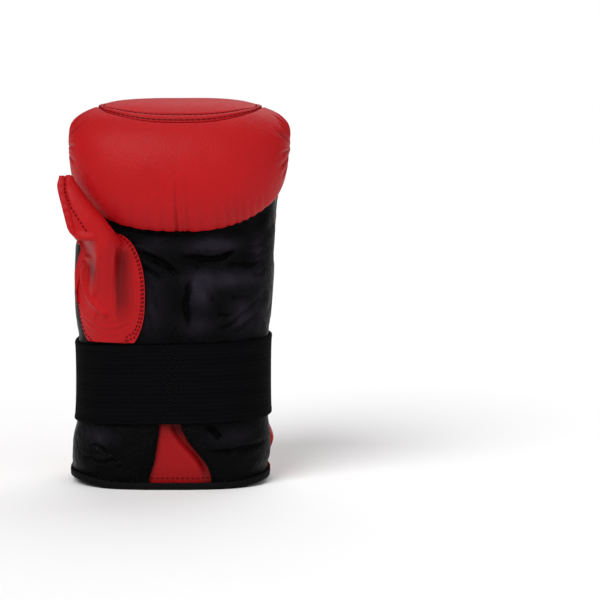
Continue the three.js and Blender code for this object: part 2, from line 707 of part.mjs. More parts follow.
// The woven band: from the little finger end of the fastening round the palm to the thumb end
function wristElastic() {
  const start = backRound(ELASTIC_MIDDLE, ELASTIC_PINKY_END);
  const finish = FULL_TURN + backRound(ELASTIC_MIDDLE, ELASTIC_THUMB_END);
  const sections = steps(start, finish, STEPS.bandRound).map((round) => {
    const lean = ELASTIC_LEAN * Math.sin(radians(round));
    const low = ELASTIC_MIDDLE - 0.5 * ELASTIC_HEIGHT + lean;
    const heights = steps(low, low + ELASTIC_HEIGHT, STEPS.bandUp);
    const inside = heights.map((height) => bodyPoint(height, round, SEAT_GAP, 0));
    const outside = heights.map((height) => bodyPoint(height, round, SEAT_GAP + ELASTIC_THICKNESS, 0));
    return [...inside, ...outside.reverse()];
  });
  return sweep(sections, false);
}

// A flat piece of the fastening, bent round the back of the wrist
function strapPiece(thumbEnd, pinkyEnd, low, high, inner, thickness, slope) {
  const grid = (out) =>
    steps(0, 1, STEPS.strapUp).map((up) =>
      steps(0, 1, STEPS.strapAcross).map((over) => {
        const height = mix(low, high, up);
        const round = mix(backRound(height, thumbEnd), backRound(height, pinkyEnd), over);
        const made = bodyPoint(height, round, out);
        made.z += slope * made.x * (2 * up - 1);
        return made;
      }),
    );
  return slab(grid(inner + thickness), grid(inner));
}

// The binding: a channel that grips the lower edge of the shell, palm and gusset
function hemBinding() {
  const outside = SEAT_GAP + BINDING_WALL;
  const corners = [
    [outside, 0],
    [outside, BINDING_HEIGHT],
    [SEAT_GAP, BINDING_HEIGHT],
    [SEAT_GAP, BINDING_FLOOR],
    [-BINDING_GRIP - SEAT_GAP, BINDING_FLOOR],
    [-BINDING_GRIP - SEAT_GAP, BINDING_HEIGHT],
    [-BINDING_GRIP - outside, BINDING_HEIGHT],
    [-BINDING_GRIP - outside, 0],
  ];
  const sections = steps(0, FULL_TURN, STEPS.hemRound)
    .slice(1)
    .map((round) =>
      corners.map(([out, height]) => {
        const made = bodyPoint(0, round, out);
        made.z += height;
        return made;
      }),
    );
  return sweep(sections, true);
}

// The assembly
const glove = new THREE.Group();
glove.name = "bag_glove";

function add(name, shape, look) {
  const finished = shapeOf(solidOf(shape));
  finished.computeVertexNormals();
  const mesh = new THREE.Mesh(finished, new THREE.MeshStandardMaterial(look));
  mesh.name = name;
  glove.add(mesh);
}

add("back_pad", backPad(), RED_LEATHER);
add("knuckle_panel", knucklePanel(), RED_LEATHER);
add("palm", palm(), BLACK_LEATHER);
add("gusset", gusset(), RED_LEATHER);
add("thumb", thumb(), RED_LEATHER);
add("thumb_welt", thumbWelt(), RED_LEATHER);
add("wrist_elastic", wristElastic(), BLACK_WEBBING);
add(
  "loop_patch",
  strapPiece(PATCH_THUMB_END, PATCH_PINKY_END, PATCH_LOW, PATCH_HIGH, SEAT_GAP, PATCH_THICKNESS, 0),
  BLACK_WEBBING,
);
add(
  "strap_tab",
  strapPiece(
    TAB_THUMB_END,
    TAB_PINKY_END,
    TAB_LOW,
    TAB_HIGH,
    SEAT_GAP + PATCH_THICKNESS + LAYER_GAP,
    TAB_THICKNESS,
    TAB_SLOPE,
  ),
  BLACK_WEBBING,
);
add("hem_binding", hemBinding(), BLACK_BINDING);

export default glove;
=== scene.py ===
import bmesh
import bpy
import numpy as np
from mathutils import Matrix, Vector


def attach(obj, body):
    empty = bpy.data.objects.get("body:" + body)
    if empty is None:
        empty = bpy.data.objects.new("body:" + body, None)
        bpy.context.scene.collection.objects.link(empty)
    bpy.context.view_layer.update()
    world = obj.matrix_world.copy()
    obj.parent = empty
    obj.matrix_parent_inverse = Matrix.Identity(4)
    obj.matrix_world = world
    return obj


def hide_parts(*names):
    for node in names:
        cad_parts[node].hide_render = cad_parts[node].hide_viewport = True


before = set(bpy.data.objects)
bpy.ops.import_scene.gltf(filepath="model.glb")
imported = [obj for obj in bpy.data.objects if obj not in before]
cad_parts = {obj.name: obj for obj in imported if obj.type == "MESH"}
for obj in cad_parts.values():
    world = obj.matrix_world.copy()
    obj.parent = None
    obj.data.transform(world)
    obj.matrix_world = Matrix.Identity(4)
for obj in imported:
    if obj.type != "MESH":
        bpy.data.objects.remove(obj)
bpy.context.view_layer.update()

bl_info = {
    "name": "Bag Glove Dresser",
    "version": (1, 0, 0),
    "blender": (4, 5, 0),
    "location": "3D View > Sidebar > Bag Glove",
    "description": "Builds the leather, stitching, webbing, stage and camera of a left-hand bag glove",
    "category": "Object",
}

MM = 0.001

# The glove's main sizes in millimetres
GLOVE_HEIGHT = 241.0
FIST_WIDTH = 140.0
GLOVE_DEPTH = 98.0
PAD_THICKNESS = 20.0
PALM_LEATHER = 1.5
GUSSET_LEATHER = 1.3
PANEL_LEATHER = 1.2
THUMB_EDGE_LEATHER = 1.3
SEAT_GAP = 0.35
SEAM_GAP = 0.5
LAYER_GAP = 0.5
ELASTIC_THICKNESS = 2.0
ELASTIC_HEIGHT = 50.0
ELASTIC_MIDDLE = 66.3
ELASTIC_LEAN = 1.7
ELASTIC_PINKY_END = 51.0
ELASTIC_THUMB_END = -33.0
PATCH_THICKNESS = 2.0
PATCH_PINKY_END = 50.3
PATCH_THUMB_END = -32.3
PATCH_LOW = 41.0
PATCH_HIGH = 91.5
TAB_THICKNESS = 2.6
TAB_PINKY_END = 40.0
TAB_THUMB_END = -42.0
TAB_LOW = 33.0
TAB_HIGH = 93.5
TAB_SLOPE = 0.015
HEM_RISE = 4.5
HEM_FLAT_SHARE = 0.5
HEM_FADE_HEIGHT = 38.0
BINDING_HEIGHT = 4.6
BINDING_WALL = 1.0
BINDING_FLOOR = 1.2
BINDING_GRIP = 4.7
EDGE_HEIGHT = BINDING_FLOOR + SEAT_GAP
SLIT_TOP_HEIGHT = 89.0
GUSSET_OVERLAP = 7.0
TUCK_DEPTH = 12.1
LIP_SHARE = 0.94
LIP_GAP = 1.2
THUMB_HOLE_SHARE = 0.76
WELT_WIDTH = 3.2
WELT_THICKNESS = 2.4
DEPTH_SHIFT = 1.2


def table(names, rows):
    """A dictionary of columns from a list of rows."""
    values = np.array(rows, dtype=float)
    return {name: values[:, i] for i, name in enumerate(names.split())}


# Level sections from the hem to the fingers: heights are shares of the glove's height, widths and
# shifts of the fist's width, places in depth of the glove's depth, pads of the pad's thickness
BODY = table(
    "height half_width shift back palm seam pad side_pad square",
    [
        [0.0, 0.441, -0.027, 0.376, -0.376, 0.0, 0.2, 0.2, 2.8],
        [0.03, 0.441, -0.027, 0.378, -0.377, 0.0, 0.2, 0.2, 2.8],
        [0.062, 0.446, -0.023, 0.408, -0.383, 0.0, 0.42, 0.24, 2.8],
        [0.12, 0.443, -0.018, 0.412, -0.372, 0.0, 0.52, 0.26, 2.8],
        [0.172, 0.428, -0.013, 0.386, -0.352, 0.0, 0.45, 0.25, 2.8],
        [0.274, 0.423, -0.011, 0.372, -0.337, 0.0, 0.42, 0.25, 2.8],
        [0.382, 0.427, -0.011, 0.388, -0.342, 0.0, 0.47, 0.25, 2.8],
        [0.44, 0.439, -0.011, 0.42, -0.362, 0.0, 0.6, 0.3, 2.9],
        [0.539, 0.446, -0.005, 0.454, -0.378, -0.005, 0.75, 0.33, 3.0],
        [0.643, 0.446, 0.002, 0.469, -0.374, -0.01, 0.82, 0.35, 3.0],
        [0.734, 0.453, 0.006, 0.472, -0.35, -0.014, 0.86, 0.35, 3.0],
    ],
)

# The shell over the knuckles, down the front and in at the lip, in the same shares
ROLL = table(
    "back height seam seam_height half_width shift pad side_pad square",
    [
        [0.468, 0.785, -0.018, 0.773, 0.463, 0.012, 0.88, 0.35, 3.0],
        [0.446, 0.844, -0.022, 0.816, 0.479, 0.021, 0.9, 0.34, 3.05],
        [0.392, 0.9, -0.026, 0.85, 0.489, 0.022, 0.93, 0.33, 3.1],
        [0.3, 0.948, -0.03, 0.87, 0.493, 0.021, 0.96, 0.32, 3.1],
        [0.167, 0.984, -0.036, 0.883, 0.494, 0.021, 0.98, 0.31, 3.1],
        [0.02, 1.0, -0.042, 0.888, 0.494, 0.021, 0.98, 0.3, 3.0],
        [-0.133, 0.994, -0.047, 0.888, 0.494, 0.021, 0.95, 0.3, 2.9],
        [-0.272, 0.972, -0.051, 0.886, 0.494, 0.021, 0.9, 0.3, 2.75],
        [-0.392, 0.934, -0.055, 0.881, 0.494, 0.021, 0.85, 0.3, 2.6],
        [-0.474, 0.882, -0.058, 0.875, 0.493, 0.021, 0.8, 0.29, 2.5],
        [-0.518, 0.822, -0.06, 0.867, 0.491, 0.021, 0.72, 0.28, 2.45],
        [-0.522, 0.763, -0.06, 0.859, 0.489, 0.021, 0.64, 0.27, 2.4],
        [-0.49, 0.712, -0.06, 0.852, 0.486, 0.021, 0.54, 0.25, 2.35],
        [-0.432, 0.678, -0.06, 0.847, 0.482, 0.021, 0.4, 0.22, 2.35],
        [-0.372, 0.676, -0.06, 0.845, 0.477, 0.021, 0.25, 0.2, 2.35],
    ],
)

# The thumb sleeve from its base on the palm to its tip, and how far each section has left the palm
THUMB = table(
    "front front_height rear rear_height left right free",
    [
        [-0.36, 0.35, -0.36, 0.672, -0.436, -0.122, 0.0],
        [-0.392, 0.402, -0.394, 0.674, -0.44, -0.142, 0.06],
        [-0.428, 0.466, -0.416, 0.677, -0.44, -0.172, 0.24],
        [-0.468, 0.537, -0.424, 0.682, -0.436, -0.204, 0.5],
        [-0.5, 0.596, -0.42, 0.69, -0.43, -0.23, 0.8],
        [-0.514, 0.646, -0.41, 0.703, -0.432, -0.262, 1.0],
        [-0.514, 0.693, -0.392, 0.722, -0.446, -0.298, 1.0],
        [-0.492, 0.739, -0.366, 0.755, -0.464, -0.354, 1.0],
        [-0.446, 0.78, -0.332, 0.785, -0.482, -0.402, 1.0],
        [-0.392, 0.806, -0.32, 0.808, -0.486, -0.434, 1.0],
    ],
)
THUMB["v"] = np.linspace(0.0, 1.0, len(THUMB["free"]))
THUMB_TIP = (-0.46, -0.356, 0.82)
THUMB_SQUARE = 2.3

# The seam on the front of the thumb sleeve, in millimetres across and up, from its lower end to the tip
THUMB_SEAM = np.array(
    [[-52.2, 163.5], [-56.6, 170.1], [-62.4, 178.7], [-65.2, 185.3], [-66.4, 189.8], [-66.2, 199.0]]
)

# Where the sleeve stands up from its flat patch as a column: at each height the foot and the crest of the
# slope on its left, and the crest of the slope on its right, in millimetres across
THUMB_COLUMN = table(
    "height foot crest right",
    [
        [100, -57.0, -47.0, -35.0],
        [112, -56.0, -47.5, -35.5],
        [118, -54.5, -47.5, -36.5],
        [126, -52.5, -47.5, -37.0],
        [132, -52.0, -47.0, -37.0],
        [140, -51.5, -46.5, -36.5],
        [148, -52.0, -45.5, -36.0],
        [153, -54.5, -45.2, -35.5],
        [158, -58.0, -45.0, -35.0],
    ],
)

# The width of the sleeve left of this place, below the bend, as a share of the section's own
THUMB_LEFT_FROM = -46.0
THUMB_LEFT_SHARE = (
    (92.0, 100.0, 112.0, 122.0, 130.0, 140.0, 150.0, 156.0, 159.0, 163.0),
    (0.85, 0.84, 0.79, 0.79, 0.81, 0.8, 0.66, 0.77, 0.86, 1.0),
)

# The fold that loops round the left of the thumb's dent and the one along the column's crest
THUMB_LOOP = ((-52.4, 146.0), (-55.9, 137.5), (-56.3, 130.0), (-53.6, 122.4), (-48.4, 116.8), (-43.0, 111.5))
THUMB_EDGE = ((-45.6, 150.0), (-46.2, 143.0), (-46.4, 135.0), (-47.2, 127.5), (-50.0, 123.5))

# Edges of the palm's slit from the hem up, shares of the glove's height and the fist's width
SLIT = table(
    "height left right",
    [
        [-0.01, -0.117, 0.162],
        [0.03, -0.112, 0.162],
        [0.062, -0.095, 0.145],
        [0.094, -0.083, 0.105],
        [0.128, -0.074, 0.058],
        [0.17, -0.066, 0.026],
        [0.33, -0.03, 0.032],
    ],
)

# The knuckle panel's ends and sides, in millimetres and shares of the way along the shell
PANEL_LOW_HEIGHT = 108.0
PANEL_LOW_BOW = 3.5
PANEL_FRONT_PLACE = 0.79
PANEL_FRONT_BOW = 0.062
PANEL_SIDES = {"pinky_low": 49.0, "pinky_high": 55.0, "thumb_low": -42.0, "thumb_high": -48.0}
PANEL_SIDE_RUN = 1.6
PANEL_SHARE = 0.57
PANEL_SIDES_START = 0.2

# Gathers drawn in at each end of the roll: place along the shell, reach inward in degrees, depth and
# width in millimetres, and how the crease leans
GATHERS_PINKY = table(
    "place reach depth width lean",
    [
        [0.452, 66, 0.9, 2.6, 0.2],
        [0.486, 60, 1.2, 2.4, 0.1],
        [0.515, 58, 1.3, 2.2, 0.0],
        [0.542, 62, 1.1, 2.0, -0.1],
        [0.569, 52, 1.6, 2.3, 0.1],
        [0.594, 58, 1.2, 2.0, 0.0],
        [0.621, 50, 1.6, 2.2, -0.2],
        [0.648, 58, 1.2, 1.9, 0.1],
        [0.672, 48, 1.7, 2.1, -0.2],
        [0.697, 58, 1.2, 1.9, -0.3],
        [0.719, 44, 1.7, 2.0, -0.5],
        [0.741, 54, 1.3, 1.8, -0.7],
        [0.763, 46, 1.5, 2.0, -0.9],
        [0.788, 56, 1.1, 1.9, -0.9],
        [0.815, 52, 1.2, 2.2, -0.8],
        [0.85, 62, 0.8, 2.2, 0.3],
        [0.89, 58, 0.9, 2.4, 0.2],
        [0.93, 64, 0.7, 2.4, 0.1],
    ],
)
GATHERS_THUMB = table(
    "place reach depth width lean",
    [
        [0.446, 64, 0.9, 2.8, 0.1],
        [0.482, 60, 1.2, 2.4, -0.1],
        [0.513, 62, 1.1, 2.2, 0.1],
        [0.545, 54, 1.4, 2.4, 0.0],
        [0.574, 60, 1.1, 2.0, 0.1],
        [0.604, 52, 1.5, 2.3, -0.1],
        [0.636, 58, 1.2, 2.2, 0.1],
        [0.667, 50, 1.5, 2.2, 0.0],
        [0.696, 58, 1.2, 2.0, -0.3],
        [0.724, 46, 1.5, 2.2, -0.5],
        [0.757, 54, 1.3, 2.0, -0.7],
        [0.79, 50, 1.3, 2.2, -0.6],
        [0.83, 62, 0.8, 2.4, 0.1],
        [0.88, 62, 0.8, 2.6, 0.1],
    ],
)

# Small puckers of the lip where it is sewn in: place across, depth and width in millimetres
LIP_PUCKERS = (
    (2.6, 0.8, 1.0),
    (6.0, 0.6, 0.9),
    (-6.5, 0.5, 1.4),
    (9.5, 0.6, 1.3),
    (-15.0, 0.35, 2.0),
    (18.0, 0.35, 1.8),
    (27.0, 0.4, 1.6),
    (34.0, 0.55, 1.3),
    (39.0, 0.7, 1.2),
    (43.5, 0.7, 1.2),
    (48.0, 0.7, 1.1),
    (52.5, 0.6, 1.1),
    (57.0, 0.5, 1.1),
    (-26.0, 0.3, 1.8),
    (-36.0, 0.3, 1.8),
)

# Folds of the palm leather: depth, width and a bent line of points in millimetres across and up
PALM_FOLDS = (
    (2.8, 1.5, ((-24.0, 150.0), (-12.0, 145.5), (-2.0, 139.5), (3.0, 136.0), (6.5, 134.5))),
    (1.4, 1.8, ((-22.0, 141.0), (-13.0, 137.0), (-6.0, 131.0))),
    (3.6, 1.7, ((1.5, 149.5), (7.0, 146.5), (18.9, 145.2), (29.0, 145.6), (36.0, 148.5), (40.0, 153.0))),
    (1.8, 2.6, ((4.0, 142.5), (14.0, 141.6), (28.0, 142.4), (34.0, 143.5))),
    (1.2, 1.0, ((16.5, 145.0), (17.5, 149.0), (16.0, 152.0))),
    (1.9, 1.4, ((31.0, 140.5), (40.0, 141.8), (48.0, 140.8), (56.0, 144.0))),
    (1.0, 1.2, ((43.0, 153.0), (50.0, 152.0), (57.0, 154.5))),
    (1.0, 1.2, ((44.0, 148.5), (51.0, 147.0), (57.0, 149.0))),
    (0.9, 1.2, ((46.0, 136.0), (52.0, 134.5), (57.0, 137.0))),
    (2.0, 1.9, ((12.5, 137.0), (9.5, 128.0), (7.5, 118.0), (8.5, 106.0), (9.5, 98.0))),
    (1.3, 2.6, ((16.0, 136.0), (21.0, 126.0), (25.0, 115.0))),
    (1.2, 1.2, ((26.0, 111.5), (31.0, 109.5), (38.0, 109.0))),
    (1.1, 1.4, ((33.0, 121.5), (40.0, 120.2), (49.0, 121.6))),
    (1.3, 1.5, ((24.0, 99.0), (36.0, 104.0), (46.0, 112.0), (54.0, 122.0))),
    (1.1, 1.5, ((34.0, 97.0), (46.0, 104.0), (55.0, 112.0))),
    (1.1, 2.2, ((-15.0, 131.0), (-12.0, 120.0), (-8.5, 110.0))),
    (1.0, 1.8, ((-18.0, 112.0), (-14.0, 104.0), (-12.5, 97.0))),
    (0.9, 2.4, ((-20.0, 155.0), (-8.0, 154.0), (2.0, 157.0))),
    (1.5, 1.3, ((-53.5, 27.5), (-47.0, 26.0), (-41.0, 23.2))),
    (1.5, 1.3, ((-58.5, 20.5), (-51.0, 17.0), (-44.0, 16.2), (-33.0, 19.0))),
    (1.0, 1.1, ((-37.0, 12.8), (-31.0, 15.0))),
    (2.0, 1.9, ((19.5, 41.0), (24.5, 36.5), (30.5, 30.5))),
    (1.6, 1.5, ((17.5, 25.5), (26.0, 23.4), (35.0, 23.6), (48.0, 25.8), (58.0, 29.0))),
)

# Painted sheens on the palm leather, broad and dull: place across and up, reach both ways, and strength
PALM_PAINTED_SHEENS = table(
    "x z reach_x reach_z strength",
    [
        [-9.0, 154.0, 9.0, 4.0, 0.5],
        [24.0, 154.0, 14.0, 4.0, 1.0],
        [33.0, 132.5, 20.0, 5.0, 1.0],
        [16.5, 124.0, 6.0, 9.0, 1.2],
        [-15.0, 118.0, 8.0, 18.0, 0.6],
        [45.0, 110.0, 8.0, 10.0, 1.1],
        [14.0, 104.0, 10.0, 6.0, 0.4],
        [52.0, 150.0, 4.0, 8.0, 0.6],
        [-48.0, 33.0, 10.0, 5.0, 0.35],
        [36.0, 33.0, 12.0, 5.0, 0.3],
    ],
)


# Plain shape tools


def smooth(value, low, high):
    """0 below low, 1 above high, and a smooth step between them."""
    share = np.clip((value - low) / (high - low), 0.0, 1.0)
    return share * share * (3.0 - 2.0 * share)


def mix(a, b, share):
    """a at share 0, b at share 1."""
    return a + (b - a) * share


def bell(value, width):
    """1 where the value is 0, falling off on both sides over the width: e to minus its square."""
    return np.exp(-((value / width) ** 2))


def spans(*parts):
    """Even steps over neighbouring stretches, each given by its start, end and count of points."""
    return np.concatenate([np.linspace(*part)[min(i, 1) :] for i, part in enumerate(parts)])


def grid_of(rows, columns):
    """Two arrays over a grid: the row values down it and the column values across it."""
    return np.broadcast_arrays(rows[:, None], columns[None, :])


def edge_distance(up, over, tall, width):
    """Distance in millimetres from a piece's nearest edge, for a place given as shares up and over."""
    return np.minimum(np.minimum(over, 1.0 - over) * width, np.minimum(up, 1.0 - up) * tall)


def signed_power(value, exponent):
    """The power of the size of value, with the sign of value."""
    return np.sign(value) * np.abs(value) ** exponent


def read(rows, key, name, at):
    """A smooth curve through column name over column key: on each span a cubic whose end slopes are the
    slopes between the neighbouring rows."""
    keys = rows[key]
    values = rows[name]
    at = np.clip(at, keys[0], keys[-1])
    i = np.clip(np.searchsorted(keys, at, side="left") - 1, 0, len(keys) - 2)
    before = np.maximum(i - 1, 0)
    after = np.minimum(i + 2, len(keys) - 1)
    span = keys[i + 1] - keys[i]
    share = (at - keys[i]) / span
    slope_in = (values[i + 1] - values[before]) / (keys[i + 1] - keys[before]) * span
    slope_out = (values[after] - values[i]) / (keys[after] - keys[i]) * span
    square = share * share
    cube = square * share
    return (
        (2 * cube - 3 * square + 1) * values[i]
        + (cube - 2 * square + share) * slope_in
        + (3 * square - 2 * cube) * values[i + 1]
        + (cube - square) * slope_out
    )


def shell_rows():
    """The level rows and the roll's rows in millimetres, with each row's place along the middle line."""
    seam_height = np.concatenate([BODY["height"], ROLL["seam_height"]])
    both = {name: np.concatenate([BODY[name], ROLL[name]]) for name in ROLL if name in BODY}
    rows = {
        "y": both["back"] * GLOVE_DEPTH,
        "z": both["height"] * GLOVE_HEIGHT,
        "seam_y": both["seam"] * GLOVE_DEPTH,
        "seam_z": seam_height * GLOVE_HEIGHT,
        "half_width": both["half_width"] * FIST_WIDTH,
        "shift": both["shift"] * FIST_WIDTH,
        "pad": both["pad"] * PAD_THICKNESS,
        "side_pad": both["side_pad"] * PAD_THICKNESS,
        "square": both["square"],
    }
    steps = np.hypot(np.diff(rows["y"]), np.diff(rows["z"]))
    rows["place"] = np.concatenate([[0.0], np.cumsum(steps)]) / steps.sum()
    return rows, steps.sum()


SHELL, SHELL_LENGTH = shell_rows()
TUCK_PLACE = 1.0 - TUCK_DEPTH / SHELL_LENGTH
LEVEL = {name: BODY[name] * FIST_WIDTH for name in ("half_width", "shift")}
LEVEL.update({name: BODY[name] * GLOVE_DEPTH for name in ("back", "palm", "seam")})
LEVEL.update({"z": BODY["height"] * GLOVE_HEIGHT, "square": BODY["square"]})
LEVEL_TOP = LEVEL["z"][-1]

# The knuckle panel's size, how far it sits down into the padding and over what step at its edge, how much
# its front corners are cut, and the rim that gets the finer grid
PANEL_WIDTH = 97.0
PANEL_RUN = 0.485 * SHELL_LENGTH
PANEL_SEAT = 0.95
PANEL_SEAT_STEP = (-1.6, 0.2)
PANEL_CORNER = 0.016
PANEL_RIM = 9.5


def lift_hem(x, height):
    """Raises the sides of the hem by a smooth step of the distance from the middle, fading upward."""
    edge = smooth(np.abs(x) / (0.5 * FIST_WIDTH), HEM_FLAT_SHARE, 1.0)
    return height + HEM_RISE * edge * (1.0 - smooth(height, 0.0, HEM_FADE_HEIGHT))


def point(x, y, z):
    """Points in millimetres, moved to their place in depth."""
    x, y, z = np.broadcast_arrays(x, y + DEPTH_SHIFT, z)
    return np.stack([x, y, z], axis=-1)


def shell_point(place, across, out, out_side=None):
    """The shell: each place has a middle point and a seam point, and the section between them is half a
    superellipse. across runs from -90 to 90 degrees, out is the distance outward."""
    out_side = out if out_side is None else out_side
    place = np.clip(place, 0.0, 1.0)
    ahead = np.clip(place + 0.002, 0.0, 1.0)
    behind = np.clip(place - 0.002, 0.0, 1.0)
    along_y = read(SHELL, "place", "y", ahead) - read(SHELL, "place", "y", behind)
    along_z = read(SHELL, "place", "z", ahead) - read(SHELL, "place", "z", behind)
    length = np.hypot(along_y, along_z)
    exponent = 2.0 / read(SHELL, "place", "square", place)
    side = signed_power(np.sin(np.radians(across)), exponent)
    middle = np.abs(np.cos(np.radians(across))) ** exponent
    middle_y = read(SHELL, "place", "y", place) + out * along_z / length
    middle_z = read(SHELL, "place", "z", place) - out * along_y / length
    half_width = read(SHELL, "place", "half_width", place)
    x = read(SHELL, "place", "shift", place) + (half_width + out_side) * side
    y = mix(read(SHELL, "place", "seam_y", place), middle_y, middle)
    z = mix(read(SHELL, "place", "seam_z", place), middle_z, middle)
    return point(x, y, lift_hem(x, z))


def across_at(rows, key, place, x):
    """The angle across at which a section reaches x."""
    reach = (x - read(rows, key, "shift", place)) / read(rows, key, "half_width", place)
    sine = signed_power(np.clip(reach, -1.0, 1.0), read(rows, key, "square", place) / 2.0)
    return np.degrees(np.arcsin(sine))


def body_point(height, around, out, seam_gap=0.0):
    """The level outline: two half superellipses that meet at the side seams. around is 0 at the middle
    of the back, 90 at the little finger side and 180 at the middle of the palm."""
    exponent = 2.0 / read(LEVEL, "z", "square", height)
    side = signed_power(np.sin(np.radians(around)), exponent)
    cosine = np.cos(np.radians(around))
    middle = np.abs(cosine) ** exponent
    on_palm = cosine < 1e-9
    seam = read(LEVEL, "z", "seam", height) - np.where(on_palm, seam_gap, 0.0)
    palm_face = read(LEVEL, "z", "palm", height) - out
    back_face = read(LEVEL, "z", "back", height) + out
    face = np.where(on_palm, palm_face, back_face)
    x = read(LEVEL, "z", "shift", height) + (read(LEVEL, "z", "half_width", height) + out) * side
    return point(x, mix(seam, face, middle), lift_hem(x, height))


def palm_point(up, across, out):
    """The palm leather: the level outline of the palm side, which leans over to the lip of the shell and
    then tucks up behind it."""
    inner_side = -read(SHELL, "place", "side_pad", TUCK_PLACE) - SEAT_GAP + out
    inner = -read(SHELL, "place", "pad", TUCK_PLACE) - SEAT_GAP + out
    tucked = shell_point(TUCK_PLACE, across, inner, inner_side)
    lip = shell_point(1.0, across, 0.0, inner_side)
    lip[..., 1] += LIP_GAP - out * np.cos(np.radians(across))
    height = mix(EDGE_HEIGHT, lip[..., 2], np.minimum(1.0, up / LIP_SHARE))
    level = np.clip(height, 0.0, LEVEL_TOP)
    flat = body_point(level, 180.0 - across, out, SEAM_GAP)
    flat[..., 2] += height - level
    lean = smooth(up, 0.68, LIP_SHARE)[..., None]
    flat = mix(flat, lip, lean)
    tuck = np.clip((up - LIP_SHARE) / (1.0 - LIP_SHARE), 0.0, 1.0)[..., None]
    return mix(flat, tucked, tuck)


def lying_flat(x, z):
    """How far the thumb sleeve lies flat on the palm: 0 on the column and above the bend, 1 beyond the foot
    of the slope on either side of the column."""
    heights = THUMB_COLUMN["height"]
    foot, crest, right = (np.interp(z, heights, THUMB_COLUMN[name]) for name in ("foot", "crest", "right"))
    left_side = smooth((crest - x) / (crest - foot), 0.0, 1.0) * smooth(z, 103.0, 116.0)
    right_side = smooth(x, right, right + 6.5) * smooth(z, 106.0, 118.0)
    return left_side * (1.0 - smooth(z, 157.4, 159.4)) + right_side * (1.0 - smooth(z, 147.0, 157.0))


def near_path(x, z, path, width):
    """A bell-shaped mask along a bent line of points, 1 on the line."""
    off = np.full(np.shape(x), 1e9)
    for (xa, za), (xb, zb) in zip(path[:-1], path[1:]):
        square = (xb - xa) ** 2 + (zb - za) ** 2
        along = np.clip(((x - xa) * (xb - xa) + (z - za) * (zb - za)) / square, 0.0, 1.0)
        off = np.minimum(off, np.hypot(x - mix(xa, xb, along), z - mix(za, zb, along)))
    return bell(off, width)


def thumb_point(v, around, out):
    """The thumb sleeve: superellipse sections that tilt from flat on the palm to upright at the tip. Near
    the base each point is drawn onto the surface of the palm."""
    front = np.stack(
        [read(THUMB, "v", "front", v) * GLOVE_DEPTH, read(THUMB, "v", "front_height", v) * GLOVE_HEIGHT]
    )
    rear = np.stack(
        [read(THUMB, "v", "rear", v) * GLOVE_DEPTH, read(THUMB, "v", "rear_height", v) * GLOVE_HEIGHT]
    )
    half = 0.5 * np.hypot(*(rear - front))
    to_rear = (rear - front) / (2.0 * half)
    centre = 0.5 * (front + rear)
    left = read(THUMB, "v", "left", v) * FIST_WIDTH
    right = read(THUMB, "v", "right", v) * FIST_WIDTH
    exponent = 2.0 / THUMB_SQUARE
    sine = signed_power(np.sin(np.radians(around)), exponent)
    cosine = signed_power(np.cos(np.radians(around)), exponent)
    x = 0.5 * (left + right) + (0.5 * (right - left) + out) * sine
    y = centre[0] - (half + out) * cosine * to_rear[0]
    z = centre[1] - (half + out) * cosine * to_rear[1]
    rim = np.maximum(z, ELASTIC_MIDDLE + 0.5 * ELASTIC_HEIGHT + 1.0)
    x = x + (np.interp(rim, *THUMB_LEFT_SHARE) - 1.0) * np.minimum(x - THUMB_LEFT_FROM, 0.0)
    flat = lying_flat(x, rim)
    free = (read(THUMB, "v", "free", v) * (1.0 - flat))[..., None]
    behind = smooth(-cosine, 0.0, 0.4) * smooth(flat, 0.1, 0.5) * smooth(-x, 46.0, 52.0)
    x = x - 0.12 * behind * (x - THUMB_LEFT_FROM)
    lift = mix(mix(SEAT_GAP + THUMB_EDGE_LEATHER, 5.0, smooth(v, 0.0, 0.4)), 2.3 - 1.4 * behind, flat)
    height = np.minimum(rim, LEVEL_TOP)
    across = across_at(LEVEL, "z", height, x)
    on_palm = body_point(height, 180.0 - across, lift + out, SEAM_GAP)
    return mix(on_palm, point(x, y, rim), np.clip(free, 0.0, 1.0))


# Meshes


def relief(surface, a, b, step_a, step_b, out):
    """Points of a surface moved along its normal by out, and the normals. The normal is the cross product
    of small steps in both directions; surface takes the two directions and clips them itself."""
    base = surface(a, b)
    along = surface(a + step_a, b) - surface(a - step_a, b)
    across = surface(a, b + step_b) - surface(a, b - step_b)
    normal = np.cross(across, along)
    normal = normal / np.maximum(np.linalg.norm(normal, axis=-1, keepdims=True), 1e-9)
    return base + normal * np.asarray(out(base))[..., None], normal


def grid_faces(rows, columns, start=0, wrap=False):
    """Quads of a grid of rows and columns; wrap joins the last column to the first."""
    r = np.arange(rows - 1)[:, None]
    c = np.arange(columns if wrap else columns - 1)[None, :]
    following = (c + 1) % columns
    quads = np.stack(
        [
            r * columns + c,
            r * columns + following,
            (r + 1) * columns + following,
            (r + 1) * columns + c,
        ],
        axis=-1,
    )
    return quads.reshape(-1, 4) + start


